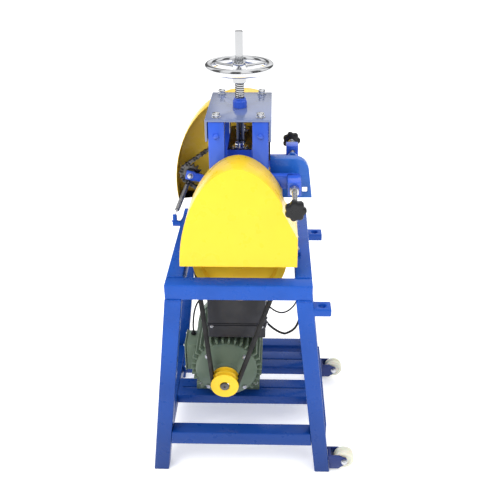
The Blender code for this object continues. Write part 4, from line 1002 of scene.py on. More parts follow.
@dataclass
class Portal:
    """The base plate, the four columns and the bridge over them."""

    bolt_spread: float = 0.050
    near_bolt_y: float = -0.083
    far_bolt_y: float = 0.114
    flange_bolt_z: float = 0.903
    base_bolts: tuple[tuple[float, float], ...] = ((0.138, 0.017), (0.138, -0.050),
                                                   (-0.138, 0.017), (-0.138, -0.050),
                                                   (0.138, 0.110), (-0.138, 0.110))

    def show(self) -> None:
        """Dress the plates and columns, and bolt them together."""
        rounded("head_base_plate", blue, Body.ROOT, 0.0010)
        for name in ("near_left", "near_right", "far_left", "far_right"):
            rounded(f"column_{name}", head_blue, Body.ROOT, 0.0014)
        rounded("bridge_plate", plate_blue_painted_reflection, Body.ROOT, 0.0012, 3)
        top = node_box("bridge_plate").high.z
        seats = [(at(side * self.bolt_spread, y, top), (0, 0, 1)) for side in (-1, 1)
                 for y in (self.near_bolt_y, self.far_bolt_y)]
        Fasteners("bridge_bolts", seats, Head.DOMED_BOLT, across=0.0165, height=0.009,
                  washer=0.0215, washer_thickness=0.0018, finish=chrome).show()
        near = node_box("column_near_left").low.y
        far = node_box("column_far_right").high.y
        seats = [(at(side * self.bolt_spread, 0, self.flange_bolt_z) * 1.0, (0, -1, 0))
                 for side in (-1, 1)]
        seats = [(Vector((seat.x, near, seat.z)), aim) for seat, aim in seats]
        Fasteners("column_front_bolts", seats, Head.PAN_SCREW, across=0.0145, height=0.006,
                  washer=0.0150, washer_thickness=0.0012, finish=head_blue).show()
        log.info("columns from %.3f to %.3f", near, far)
        base = node_box("head_base_plate").high.z
        seats = [(at(x, y, base), (0, 0, 1)) for x, y in self.base_bolts]
        Fasteners("base_bolts", seats, across=0.013, height=0.0062, washer=0.019).show()
        self.foot_welds()
        self.painted_shadow_and_grey_strip()

    def foot_welds(self) -> None:
        """Beads round the columns' feet."""
        runs = []
        for name in ("near_left", "near_right", "far_left", "far_right"):
            box = node_box(f"column_{name}")
            low_y = max(box.low.y, at(0, -0.102, 0).y)
            high_y = low_y + 0.036
            if name.startswith("far"):
                low_y = box.low.y
                high_y = low_y + 0.036
            low_x, high_x = box.low.x, box.low.x + 0.036
            z = box.low.z + 0.0004
            for y in (low_y, high_y):
                runs.append((Vector((low_x, y, z)), Vector((high_x, y, z))))
            for x in (low_x, high_x):
                runs.append((Vector((x, low_y, z)), Vector((x, high_y, z))))
        WeldBeads("column_welds", runs, finish=head_blue, width=0.005).show()

    def painted_shadow_and_grey_strip(self) -> None:
        """A black strip of painted shadow beside the near right column, where the far right column
        lies in shade, and a grey strip beside the left.
        """
        near = node_box("column_near_right")
        y = near.high.y
        # Painted shadow: a black strip standing in for the shaded far right column.
        right = Shape().block(Vector((near.low.x + 0.037, y - 0.016, near.high.z - 0.098)),
                              Vector((near.low.x + 0.0405, y - 0.002, near.high.z - 0.004)))
        shown("column_painted_shadow_strip_right", right.closed(), rubber, Body.ROOT, bevel=0.0006)
        left = node_box("column_far_left")
        strip = Shape().block(
            Vector((left.low.x + 0.0364, left.low.y - 0.0030, left.high.z - 0.090)),
            Vector((left.low.x + 0.0385, left.low.y + 0.030, left.high.z - 0.012)))
        shown("column_strip_left", strip.closed(), zinc, Body.ROOT, bevel=0.0004)


@dataclass
class SpindleSet:
    """The spindle, its nut and the handwheel."""

    rod: float = 0.0186
    thread: float = 0.0215
    lead: float = 0.005
    collar: float = 0.032
    rim_depth: float = 0.0165
    rim_height: float = 0.0195
    hub_height: float = 0.018
    spokes: int = 3
    spoke_width: float = 0.012
    spoke_height: float = 0.0075
    first_spoke_degrees: float = 30.0
    hub: float = 0.030
    set_screw: float = 0.009

    def show(self) -> None:
        """Build the spindle, the nut and the wheel."""
        box, wheel = node_box("spindle"), node_box("handwheel")
        nut = node_box("spindle_nut")
        hub_low = wheel.centre.z - self.hub_height / 2
        collar_low, collar_high = hub_low - 0.0272, hub_low - 0.0002
        root, crest, r = self.thread / 2 - 0.0014, self.thread / 2, self.rod / 2
        base = Matrix.Translation(at(0, 0, 0))
        hidden = nut.low.z + 0.004
        foot = [(0.0, box.low.z), (r - 0.001, box.low.z), (r, box.low.z + 0.001), (r, hidden),
                (0.0, hidden)]
        # The spindle under the bridge plate is near-black: partly grease, partly painted shade.
        shown("spindle_foot", Shape().turned(foot, base, 64).closed(), greased_painted_shade, Body.SPINDLE)
        profile = [(0.0, hidden), (root, hidden), (root, collar_low),
                   (self.collar / 2 - 0.0015, collar_low), (self.collar / 2, collar_low + 0.0015),
                   (self.collar / 2, collar_high - 0.0015),
                   (self.collar / 2 - 0.0015, collar_high), (r, collar_high),
                   (r, box.high.z - 0.0016), (r - 0.0016, box.high.z), (0.0035, box.high.z),
                   (0.0, box.high.z - 0.003)]
        shown("spindle_rod", Shape().turned(profile, base, 64).closed(), bright, Body.SPINDLE,
              ("spindle",))
        self.thread_turns(hidden, collar_low, root, crest)
        r = nut.size.x / 2
        profile = [(self.thread / 2 + 0.0003, nut.low.z), (r, nut.low.z),
                   (r, nut.high.z - 0.008), (r - 0.0022, nut.high.z - 0.005),
                   (r - 0.0022, nut.high.z - 0.0008), (r - 0.003, nut.high.z),
                   (self.thread / 2 + 0.0003, nut.high.z)]
        shown("spindle_nut_boss", Shape().turned(profile, base, 64).closed(), head_blue,
              Body.ROOT, ("spindle_nut",))
        self.wheel(wheel)

    def thread_turns(self, low: float, high: float, root: float, crest: float) -> None:
        """The thread as one helical ridge, grown along a spiral."""
        grow = Growth("thread_tree")
        lead = grow.size("Lead", self.lead)
        height = grow.size("Length", high - low)
        middle = grow.size("Ridge radius", (root + crest) / 2 - 0.0002)
        turns = grow.math("DIVIDE", height, lead)
        spiral = grow.add("GeometryNodeCurveSpiral", {
            "Resolution": 36, "Rotations": turns, "Start Radius": middle, "End Radius": middle,
            "Height": height}).outputs[0]
        section = grow.add("GeometryNodeCurvePrimitiveCircle", {
            "Resolution": 6, "Radius": grow.math("MULTIPLY", lead, 0.24)}).outputs[0]
        ridge = grow.add("GeometryNodeCurveToMesh", {"Curve": spiral, "Profile Curve": section,
                                                     "Fill Caps": True}).outputs[0]
        copies = grow.spread(grow.source.outputs[0], ridge)
        mesh = grow.grown(copies, oiled, [at(0, 0, low)], [Vector((0, 0, 1))])
        shown("spindle_thread", mesh, oiled, Body.SPINDLE, angle=60.0)

    def wheel(self, box: Box) -> None:
        """The chromed wheel: a deep round-edged rim, three spokes and a hub."""
        middle = box.centre.z
        centre = at(0, 0, middle)
        radius = box.size.x / 2 - self.rim_depth / 2
        section = []
        for k in range(20):
            angle = 2 * math.pi * k / 20
            c, s = math.cos(angle), math.sin(angle)
            section.append((radius + math.copysign(abs(c) ** 0.75, c) * self.rim_depth / 2,
                            math.copysign(abs(s) ** 0.75, s) * self.rim_height / 2))
        shape = Shape().turned(section, Matrix.Translation(centre), 96)
        shown("handwheel_rim", shape.closed(), chrome, Body.SPINDLE, ("handwheel",))
        arms = Shape()
        for i in range(self.spokes):
            angle = math.radians(self.first_spoke_degrees + 360 / self.spokes * i)
            out = Vector((math.cos(angle), math.sin(angle), 0.0))
            path, half_w, half_h = [], self.spoke_width / 2, self.spoke_height / 2
            for k in range(9):
                share = k / 8
                reach = self.hub / 2 - 0.003 + share * (radius - self.hub / 2 + 0.003)
                path.append(centre + out * reach - Vector((0, 0, 0.0012 * (1 - share))))
            oval = [(half_w * math.cos(2 * math.pi * k / 16),
                     half_h * math.sin(2 * math.pi * k / 16)) for k in range(16)]
            arms.swept(path, oval, False, Vector((0, 0, 1)))
        shown("handwheel_spokes", arms.closed(), chrome, Body.SPINDLE)
        r = self.hub / 2
        low, high = middle - self.hub_height / 2, middle + self.hub_height / 2
        profile = [(self.rod / 2 + 0.0003, low), (r - 0.0012, low), (r, low + 0.0012),
                   (r, high - 0.0015), (r - 0.0015, high), (self.rod / 2 + 0.0003, high)]
        shown("handwheel_hub", Shape().turned(profile, Matrix.Translation(at(0, 0, 0)),
                                              48).closed(), chrome, Body.SPINDLE)
        place = facing(at(-self.hub / 2 + 0.004, 0.003, high - 0.0005), (-0.2, 0, 1))
        screw = Shape().rod(place, 0.0075, self.set_screw, 24, 0.0008)
        shown("handwheel_set_screw", screw.closed(), zinc, Body.SPINDLE)


@dataclass
class CarriageSet:
    """The carriage between the columns with its bolts."""

    bolt_x: float = 0.0
    bolt_ys: tuple[float, float] = (-0.031, 0.100)

    def show(self) -> None:
        """Dress the carriage and bolt its beam down."""
        rounded("carriage", slide_blue_painted_shade, Body.CARRIAGE, 0.0012)
        top = node_box("carriage").high.z
        seats = [(at(self.bolt_x, y, top), (0, 0, 1)) for y in self.bolt_ys]
        Fasteners("carriage_bolts", seats, Head.DOMED_BOLT, across=0.020, height=0.010,
                  washer=0.0365, washer_thickness=0.0024, finish=chrome,
                  body=Body.CARRIAGE).show()


@dataclass
class Shafts:
    """Housings, shafts, knife and feed roller."""

    shaft: float = 0.020
    teeth: int = 56

    def show(self) -> None:
        """Dress the housings and shafts, and build the tools on them."""
        for row in ("near", "far"):
            rounded(f"bearing_housing_{row}", head_blue, Body.ROOT, 0.0014)
        for node, body in (("drive_shaft", Body.DRIVE), ("feed_roller_shaft", Body.FEED),
                           ("knife_shaft", Body.KNIFE)):
            rounded(node, bright, body, 0.0008)
        self.bearing_seals()
        self.knife()
        self.roller()

    def bearing_seals(self) -> None:
        """A ringed seal at each place where a shaft comes out of its housing."""
        places = []
        for row, y, aim in (("near", node_box("bearing_housing_near").high.y, 1),
                            ("far", node_box("bearing_housing_far").low.y, -1)):
            for node in ("drive_shaft", "feed_roller_shaft"):
                places.append(Vector((spindle_axis.x, y, node_box(node).centre.z)))
            ring = Shape()
            for place in places[-2:]:
                r = self.shaft / 2 + 0.0008
                ring.turned([(r, 0.0), (r + 0.008, 0.0), (r + 0.0072, 0.0016), (r, 0.0016)],
                            facing(place, (0, aim, 0)), 40)
            shown(f"bearing_seals_{row}", ring.closed(), rubber, Body.ROOT)

    def knife(self) -> None:
        """The ground round knife on its hub."""
        box = node_box("knife_wheel")
        radius, half = box.size.z / 2, box.size.y / 2
        middle, bore = half, self.shaft / 2 + 0.0004
        hub = radius * 0.6
        profile = [(bore, 0.0), (hub - 0.001, 0.0), (hub, 0.001), (hub, middle - 0.006),
                   (radius * 0.72, middle - 0.0052), (radius, middle - 0.0003),
                   (radius, middle + 0.0003), (radius * 0.72, middle + 0.0052),
                   (hub, middle + 0.006), (hub, 2 * half - 0.001), (hub - 0.001, 2 * half),
                   (bore, 2 * half)]
        place = facing(Vector((box.centre.x, box.low.y, box.centre.z)), (0, 1, 0))
        shown("knife_blade", Shape().turned(profile, place, 72).closed(), bright, Body.KNIFE,
              ("knife_wheel",))

    def roller(self) -> None:
        """The grooved feed roller with its fine grip teeth, grown round it."""
        rounded("feed_roller", iron, Body.FEED, 0.0008)
        box = node_box("feed_roller")
        grow = Growth("grip_tree")
        width = grow.size("Tooth width", 0.0022)
        height = grow.size("Tooth height", 0.0012)
        length = grow.size("Tooth length", 0.013)
        size = grow.add("ShaderNodeCombineXYZ", {"X": width, "Y": length, "Z": height})
        tooth = grow.add("GeometryNodeMeshCube", {"Size": size.outputs[0]}).outputs[0]
        radius = box.size.z / 2
        points, aims = [], []
        for y in (box.low.y + 0.0075, box.high.y - 0.0075):
            for i in range(self.teeth):
                angle = 2 * math.pi * i / self.teeth
                aim = Vector((math.sin(angle), 0.0, math.cos(angle)))
                points.append(Vector((box.centre.x, y, box.centre.z)) + aim * radius)
                aims.append(aim)
        mesh = grow.grown(grow.spread(grow.source.outputs[0], tooth), iron, points, aims)
        shown("feed_roller_teeth", mesh, iron, Body.FEED)


@dataclass
class ChainDrive:
    """The sprockets, the roller chain and its spring-loaded tensioner."""

    pitch: float = 0.0127
    roller: float = 0.0078
    plate_height: float = 0.0104
    plate: float = 0.0013
    inner_width: float = 0.0094
    rise: float = 0.0030
    root: float = 0.0042
    teeth: dict[str, int] = field(default_factory=lambda: {
        "drive_sprocket": 13, "roller_sprocket": 17, "knife_sprocket": 17,
        "idler_sprocket": 13})
    sides: dict[str, int] = field(default_factory=lambda: {
        "drive_sprocket": 1, "roller_sprocket": -1, "knife_sprocket": 1, "idler_sprocket": 1})

    def show(self) -> None:
        """Build the sprockets, the chain and the tensioner."""
        bodies = {"drive_sprocket": Body.DRIVE, "roller_sprocket": Body.FEED,
                  "knife_sprocket": Body.KNIFE, "idler_sprocket": Body.IDLER}
        for node, body in bodies.items():
            rounded(node, oiled, body, 0.0006)
        self.chain()
        self.tensioner()

    def centre(self, node: str) -> Vector:
        """The middle of a sprocket's toothed plate."""
        box = node_box(node)
        shafts = {"drive_sprocket": "drive_shaft", "roller_sprocket": "feed_roller_shaft",
                  "knife_sprocket": "knife_shaft"}
        chain_y = node_box("drive_chain").centre.y
        if node in shafts:
            shaft = node_box(shafts[node]).centre
            return Vector((shaft.x, chain_y, shaft.z))
        return Vector((box.centre.x + 0.0001, chain_y, box.centre.z + 0.0001))

    def loop(self) -> list[tuple[float, float]]:
        """Close points round the loop of the chain, as (x, z)."""
        circles = [(self.centre(node), self.pitch / 2 / math.sin(math.pi / self.teeth[node]),
                    self.sides[node]) for node in self.teeth]
        turns = []
        for i, (a, ra, sa) in enumerate(circles):
            b, rb, sb = circles[(i + 1) % len(circles)]
            gap = math.hypot(b.x - a.x, b.z - a.z)
            turns.append(math.atan2(b.z - a.z, b.x - a.x) - math.acos((ra * sa - rb * sb) / gap))
        points = []
        for i, (c, r, s) in enumerate(circles):
            start, end = turns[i - 1], turns[i]
            sweep = (end - start) % (2 * math.pi) if s > 0 else -((start - end) % (2 * math.pi))
            for k in range(41):
                angle = start + sweep * k / 40
                points.append((c.x + r * s * math.cos(angle), c.z + r * s * math.sin(angle)))
        return points

    def pins(self) -> list[Vector]:
        """The chain's pins, a pitch apart round the loop."""
        points = self.loop()
        closed = [*points, points[0]]
        lengths = [math.dist(closed[i], closed[i + 1]) for i in range(len(points))]
        count = 2 * round(sum(lengths) / self.pitch / 2)
        step, made, walked, i = sum(lengths) / count, [], 0.0, 0
        y = node_box("drive_chain").centre.y
        for k in range(count):
            goal = k * step
            while walked + lengths[i] < goal:
                walked += lengths[i]
                i += 1
            share = (goal - walked) / max(lengths[i], 1e-9)
            x = closed[i][0] + (closed[i + 1][0] - closed[i][0]) * share
            z = closed[i][1] + (closed[i + 1][1] - closed[i][1]) * share
            made.append(Vector((x, y, z)))
        return made

    def chain(self) -> None:
        """The chain: rollers on the pins, and inner and outer links by turns."""
        pins = self.pins()
        count = len(pins)
        links, aims = [], []
        for i, pin in enumerate(pins):
            after = pins[(i + 1) % count]
            links.append((pin + after) / 2)
            aims.append((after - pin).normalized())
        step = (pins[1] - pins[0]).length
        grow = Growth("chain_tree")
        pitch = grow.size("Pitch", step)
        height = grow.size("Plate height", self.plate_height)
        thickness = grow.size("Plate thickness", self.plate)
        inside = grow.size("Inner width", self.inner_width - 0.0016)
        rolls = grow.size("Roller diameter", self.roller)
        index = grow.add("GeometryNodeInputIndex", {}).outputs[0]
        odd = grow.math("MODULO", index, 2.0)
        even = grow.math("SUBTRACT", 1.0, odd)
        kinds = []
        for outer in (0.0, 1.0):
            plates = []
            for side in (-1.0, 1.0):
                eyes = [self.eye(grow, height, thickness, pitch, end, 1.0) for end in (-0.5, 0.5)]
                waist = grow.add("GeometryNodeMeshCube", {"Size": grow.add(
                    "ShaderNodeCombineXYZ", {"X": grow.math("MULTIPLY", height, 0.72),
                                             "Y": thickness, "Z": pitch}).outputs[0]}).outputs[0]
                away = grow.math("MULTIPLY_ADD", inside, side * 0.5)
                sunk = grow.tree.nodes[-1]
                grow.tree.links.new(grow.math("MULTIPLY", thickness, side * (0.55 + outer * 1.15)),
                                    sunk.inputs[2])
                offset = grow.add("ShaderNodeCombineXYZ", {"Y": away}).outputs[0]
                plates.append(grow.add("GeometryNodeTransform", {
                    "Geometry": grow.joined([*eyes, waist]), "Translation": offset}).outputs[0])
            for end in (-0.5, 0.5):
                size = rolls if outer == 0.0 else grow.math("MULTIPLY", rolls, 0.5)
                depth = inside if outer == 0.0 else grow.math("MULTIPLY", inside, 1.62)
                plates.append(self.eye(grow, size, depth, pitch, end, 1.0))
            kinds.append(grow.joined(plates))
        inner = self.along(grow, kinds[0], even)
        outer = self.along(grow, kinds[1], odd)
        mesh = grow.grown(grow.joined([inner, outer]), oiled, links, aims)
        made = shown("roller_chain", mesh, oiled, Body.ROOT, ("drive_chain",), angle=35.0)
        made.parent = None
        del made["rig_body"]
        x, y = spindle_axis.x, node_box("drive_chain").centre.y
        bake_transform(made)

    def eye(self, grow: Growth, size, depth, pitch, end: float, share: float):
        """A disc across the chain at one end of a link."""
        disc = grow.add("GeometryNodeMeshCylinder", {
            "Vertices": 16, "Radius": grow.math("MULTIPLY", size, 0.5 * share),
            "Depth": depth}).outputs[0]
        offset = grow.add("ShaderNodeCombineXYZ", {"Z": grow.math("MULTIPLY", pitch, end)})
        return grow.add("GeometryNodeTransform", {
            "Geometry": disc, "Rotation": (math.pi / 2, 0.0, 0.0),
            "Translation": offset.outputs[0]}).outputs[0]

    def along(self, grow: Growth, link, selection):
        """Links on the chosen points, along the chain and level across it."""
        aim = grow.add("GeometryNodeInputNamedAttribute", {"Name": "direction"},
                       data_type="FLOAT_VECTOR").outputs[0]
        turn = grow.add("FunctionNodeAlignRotationToVector", {"Vector": aim}, axis="Z",
                        pivot_axis="Y").outputs[0]
        return grow.add("GeometryNodeInstanceOnPoints", {
            "Points": grow.source.outputs[0], "Instance": link, "Rotation": turn,
            "Selection": selection}).outputs[0]

    def tensioner(self) -> None:
        """The swinging arm, its bolt and the spring with its hooks."""
        rounded("idler_arm", head_blue, Body.ARM, 0.0010)
        pivot = next(j for j in frame["joints"] if j["name"] == "idler_swing")["pos_m"]
        arm = node_box("idler_arm")
        end = self.centre("idler_sprocket")
        seats = [(Vector((end.x, arm.low.y, end.z)), (0, -1, 0)),
                 (Vector((pivot[0], arm.low.y, pivot[2])), (0, -1, 0))]
        Fasteners("tensioner_bolts", seats, across=0.011, height=0.005, washer=0.0155,
                  body=Body.ARM).show()
        box = node_box("tension_spring")
        coil, wire = 0.0130, 0.0022
        top = Vector((box.high.x - coil * 0.45, box.centre.y - 0.001, box.high.z - coil * 0.3))
        foot = Vector((box.low.x + coil * 0.45, box.centre.y - 0.001, box.low.z + 0.001))
        axis = foot - top
        turns, steps = 30, 20
        start, length = 0.07, 0.84
        place = facing(top, axis.normalized())
        points = [top]
        for k in range(turns * steps + 1):
            share, angle = k / (turns * steps), 2 * math.pi * k / steps
            swell = min(1.0, k / steps * 1.5, (turns * steps - k) / steps * 1.5)
            radius = max(0.08, swell) * (coil - wire) / 2
            points.append(place @ Vector((radius * math.cos(angle), radius * math.sin(angle),
                                          axis.length * (start + length * share))))
        points.append(foot)
        shown("spring_coil", Shape().tube(points, wire, 10).closed(), spring_wire, Body.ROOT,
              ("tension_spring",), angle=60.0)


@dataclass
class BeltDrive:
    """Both grooved pulleys and the two V belts."""

    belts: tuple[str, str] = ("v_belt_near", "v_belt_far")
    groove_depth: float = 0.012
    top_width: float = 0.0141
    floor_width: float = 0.0091
    web: float = 0.010
    rim: float = 0.020
    hub: float = 0.052
    belt_top: float = 0.0125
    belt_floor: float = 0.0075
    belt_height: float = 0.008
    belt_sink: float = 0.001

    def show(self) -> None:
        """Build the pulleys and the belts."""
        driven, motor = node_box("driven_pulley"), node_box("motor_pulley")
        radius = driven.size.z / 2
        middle, bore = driven.size.y / 2, node_box("drive_shaft").size.x / 2 + 0.0004
        inner, hub = radius - self.rim, self.hub / 2
        grooves = self.grooves(driven, radius)
        web_low, web_high = middle - self.web / 2, middle + self.web / 2
        width = driven.size.y
        profile = [(bore, 0.0), (hub - 0.0015, 0.0), (hub, 0.0015), (hub + 0.003, web_low),
                   (inner - 0.012, web_low), (inner - 0.003, web_low - 0.003), (inner, 0.0012),
                   (inner + 0.0012, 0.0), (radius - 0.001, 0.0), (radius, 0.001), *grooves,
                   (radius, width - 0.001), (radius - 0.001, width), (inner + 0.0012, width),
                   (inner, width - 0.0012), (inner - 0.003, web_high + 0.003),
                   (inner - 0.012, web_high), (hub + 0.003, web_high), (hub, width - 0.0015),
                   (hub - 0.0015, width), (bore, width)]
        place = facing(Vector((driven.centre.x, driven.low.y, driven.centre.z)), (0, 1, 0))
        shown("driven_pulley_turned", Shape().turned(profile, place, 128).closed(),
              pulley_yellow, Body.DRIVE, ("driven_pulley",))
        radius = motor.size.z / 2
        bore = node_box("motor_shaft").size.x / 2 + 0.0004
        profile = [(bore, 0.0012), (bore + 0.0012, 0.0), (radius - 0.0016, 0.0),
                   (radius, 0.0016), *self.grooves(motor, radius),
                   (radius, width - 0.001), (radius - 0.001, width), (bore, width)]
        place = facing(Vector((motor.centre.x, motor.low.y, motor.centre.z)), (0, 1, 0))
        mesh = Shape().turned(profile, place, 96).closed()
        shown("motor_pulley_turned", mesh, pulley_yellow, Body.MOTOR, ("motor_pulley",))
        self.key(motor)
        self.loops(driven, motor)

    def grooves(self, box: Box, radius: float) -> Outline:
        """Profile points of both grooves, measured from the near face."""
        points = []
        for belt in self.belts:
            y = node_box(belt).centre.y - box.low.y
            top, floor = self.top_width / 2, self.floor_width / 2
            points += [(radius, y - top - 0.0005), (radius - 0.0006, y - top),
                       (radius - self.groove_depth, y - floor),
                       (radius - self.groove_depth, y + floor), (radius - 0.0006, y + top),
                       (radius, y + top + 0.0005)]
        return points

    def key(self, motor: Box) -> None:
        """The motor shaft's chamfered end with its key."""
        shaft = node_box("motor_shaft")
        place = facing(Vector((shaft.centre.x, shaft.low.y, shaft.centre.z)), (0, 1, 0))
        r = shaft.size.x / 2
        profile = [(0.0, 0.004), (0.003, 0.0015), (0.0032, 0.0), (r - 0.0014, 0.0), (r, 0.0014),
                   (r, shaft.size.y), (0.0, shaft.size.y)]
        shown("motor_shaft_end", Shape().turned(profile, place, 48).closed(), oiled, Body.MOTOR,
              ("motor_shaft",))
        key = Shape().block(
            Vector((shaft.centre.x + 0.004, motor.low.y - 0.0012, shaft.centre.z + 0.0035)),
            Vector((shaft.centre.x + 0.0115, motor.low.y + 0.018, shaft.centre.z + 0.0105)))
        shown("motor_key", key.closed(), chrome, Body.MOTOR, bevel=0.0005)

    def loops(self, driven: Box, motor: Box) -> None:
        """The belts as trapezoid bands with rounded edges."""
        r_low, r_high = motor.size.z / 2, driven.size.z / 2
        low, high = motor.centre, driven.centre
        gap = math.hypot(high.x - low.x, high.z - low.z)
        for belt in self.belts:
            y = node_box(belt).centre.y
            heading = math.atan2(high.z - low.z, high.x - low.x)
            lean = math.acos((r_low - r_high) / gap)
            path = []
            middle = self.belt_sink + self.belt_height / 2
            for c, r, start, end in (
                    (low, r_low, heading + lean, heading - lean + 2 * math.pi),
                    (high, r_high, heading - lean, heading + lean)):
                for k in range(49):
                    angle = start + (end - start) * k / 48
                    path.append(Vector((c.x + (r - middle) * math.cos(angle), y,
                                        c.z + (r - middle) * math.sin(angle))))
            half, top, floor = self.belt_height / 2, self.belt_top / 2, self.belt_floor / 2
            ease = 0.0008
            section = [(-top + ease, half), (-top, half - ease), (-floor, -half + ease),
                       (-floor + ease, -half), (floor - ease, -half), (floor, -half + ease),
                       (top, half - ease), (top - ease, half)]
            rings = []
            count = len(path)
            for i, point in enumerate(path):
                heading_here = (path[(i + 1) % count] - path[i - 1]).normalized()
                out = heading_here.cross(Vector((0, 1, 0)))
                out = out if out.dot(point - (low + high) / 2) > 0 else -out
                rings.append([point + Vector((0, a, 0)) + out * b for a, b in section])
            shown(f"{belt}_band", Shape().lattice(rings, True).closed(), rubber, Body.ROOT,
                  (belt,), angle=25.0)


@dataclass
class MotorSet:
    """The finned motor with its bell, cowl, foot and terminal box."""

    core: float = 0.084
    fin_height: float = 0.0136
    fin_thickness: float = 0.0052
    fin_count: int = 34
    shoulder: float = 0.032
    nose_radius: float = 0.036
    bell_radius: float = 0.080
    cowl_radius: float = 0.098
    cowl_lap: float = 0.044
    foot_width: float = 0.178
    foot_height: float = 0.014
    foot_bolt_x: float = 0.076
    terminal_width: float = 0.045
    terminal_depth: float = 0.076
    terminal_height: float = 0.090

    def show(self) -> None:
        """Build the castings, the cowl, the fins, the terminal box and the bolts."""
        box, shaft = node_box("motor_body"), node_box("motor_shaft").centre
        axis = Vector((shaft.x, 0.0, shaft.z))
        near, far = box.low.y, box.high.y
        place = facing(Vector((axis.x, near, axis.z)), (0, 1, 0))
        bore = node_box("motor_shaft").size.x / 2 + 0.0006
        length = far - near
        drop = self.shoulder
        profile = [(bore, 0.0), (self.nose_radius - 0.003, 0.0), (self.nose_radius, 0.003),
                   (self.nose_radius + 0.002, 0.008),
                   (self.bell_radius * 0.93, drop - 0.012), (self.bell_radius, drop - 0.008),
                   (self.core, drop - 0.004), (self.core, length - self.cowl_lap),
                   (bore, length - self.cowl_lap)]
        shell = Shape().turned(profile, place, 96)
        half = self.foot_width / 2
        foot = node_box("motor_body").low.z
        near_foot, far_foot = near + 0.068, far - 0.052
        shell.block(Vector((axis.x - half, near_foot, foot)),
                    Vector((axis.x + half, far_foot, foot + self.foot_height)))
        for y in (near_foot + 0.010, far_foot - 0.034):
            for side in (-1, 1):
                outline = [(axis.x + side * half * 0.92, foot + self.foot_height * 0.5),
                           (axis.x + side * half * 0.25, foot + self.foot_height * 0.5),
                           (axis.x + side * half * 0.25, axis.z - self.core * 0.5),
                           (axis.x + side * half * 0.62, axis.z - self.core * 0.62)]
                shell.prism(outline, "Y", y, y + 0.024)
        shown("motor_castings", shell.closed(), motor_green, Body.ROOT, ("motor_body",),
              bevel=0.0008)
        self.fins(axis, near + drop - 0.001, far - self.cowl_lap - 0.001)
        self.bell_bolts(axis, near + drop)
        self.cowl(axis, far - self.cowl_lap, far)
        self.terminal_box(axis, box)
        seats = [(Vector((axis.x + side * self.foot_bolt_x, y, foot + self.foot_height)),
                  (0, 0, 1)) for side in (-1, 1) for y in (near_foot + 0.012, far_foot - 0.012)]
        Fasteners("motor_foot_bolts", seats, across=0.013, height=0.0065, washer=0.019).show()

    def fins(self, axis: Vector, low: float, high: float) -> None:
        """The cooling fins, grown round the stator; the foot's side stays plain."""
        grow = Growth("fin_tree")
        size = grow.add("ShaderNodeCombineXYZ", {
            "X": grow.size("Fin thickness", self.fin_thickness), "Y": grow.size(
                "Fin length", high - low), "Z": grow.size("Fin height", self.fin_height * 2)})
        fin = grow.add("GeometryNodeMeshCube", {"Size": size.outputs[0]}).outputs[0]
        points, aims = [], []
        for i in range(self.fin_count):
            angle = 2 * math.pi * (i + 0.5) / self.fin_count
            aim = Vector((math.sin(angle), 0.0, math.cos(angle)))
            if aim.z < -0.75:
                continue
            points.append(Vector((axis.x, (low + high) / 2, axis.z))
                          + aim * (self.core - self.fin_height * 0.05))
            aims.append(aim)
        mesh = grow.grown(grow.spread(grow.source.outputs[0], fin), motor_green, points, aims)
        shown("motor_fins", mesh, motor_green, Body.ROOT, bevel=0.0006, segments=2)

    def bell_bolts(self, axis: Vector, y: float) -> None:
        """The four bolts that hold the bell, whose rim lies at y."""
        seats = []
        for i in range(4):
            angle = math.pi / 4 + math.pi / 2 * i
            seats.append((Vector((axis.x + 0.070 * math.sin(angle), y - 0.0115,
                                  axis.z + 0.070 * math.cos(angle))), (0, -1, 0)))
        Fasteners("bell_bolts", seats, across=0.010, height=0.005, washer=0.013,
                  finish=zinc).show()

    def cowl(self, axis: Vector, low: float, high: float) -> None:
        """The sheet cowl over the fan, with rings of slots in its end."""
        place = facing(Vector((axis.x, low, axis.z)), (0, 1, 0))
        r, wall, length = self.cowl_radius, 0.0016, high - low
        profile = [(r - wall, 0.0), (r, 0.0), (r, length - 0.012), (r - 0.003, length - 0.005),
                   (r - 0.010, length - 0.001), (r - 0.020, length), (0.004, length),
                   (0.004, length - wall), (r - 0.020, length - wall),
                   (r - 0.010, length - 0.001 - wall), (r - wall - 0.002, length - 0.008),
                   (r - wall, length - 0.014)]
        cutters = []
        for ring, (radius, count) in enumerate(((0.026, 10), (0.044, 16), (0.062, 22))):
            for i in range(count):
                angle = 2 * math.pi * (i + ring / 2) / count
                out = Vector((math.cos(angle), 0, math.sin(angle)))
                seat = Vector((axis.x, high - 0.006, axis.z)) + out * radius
                slot = Shape()
                across = Vector((-out.z, 0, out.x))
                outline = [seat + out * a + across * b for a, b in
                           ((-0.0065, -0.0022), (0.0065, -0.0022), (0.0065, 0.0022),
                            (-0.0065, 0.0022))]
                slot.lattice([outline, [p + Vector((0, 0.012, 0)) for p in outline]], False)
                cutters.append(slot)
        joined = Shape()
        for cutter in cutters:
            mesh = cutter.closed()
            joined.mesh.from_mesh(mesh)
            bpy.data.meshes.remove(mesh)
        shell = Shape().turned(profile, place, 96).closed()
        shown("fan_cowl", carved(shell, [joined.closed()]), motor_green, Body.ROOT)
        fan = Shape()
        for i in range(8):
            angle = 2 * math.pi * i / 8
            out = Vector((math.cos(angle), 0, math.sin(angle)))
            across = Vector((-out.z, 0, out.x)) * 0.0012
            base = Vector((axis.x, low + 0.008, axis.z))
            corners = [base + out * 0.018 - across, base + out * 0.080 - across,
                       base + out * 0.080 + across, base + out * 0.018 + across]
            fan.lattice([corners, [c + Vector((0, 0.024, 0)) for c in corners]], False)
        fan.rod(facing(Vector((axis.x, low + 0.004, axis.z)), (0, 1, 0)), 0.028, 0.042)
        shown("cooling_fan", fan.closed(), knob_black, Body.ROOT)

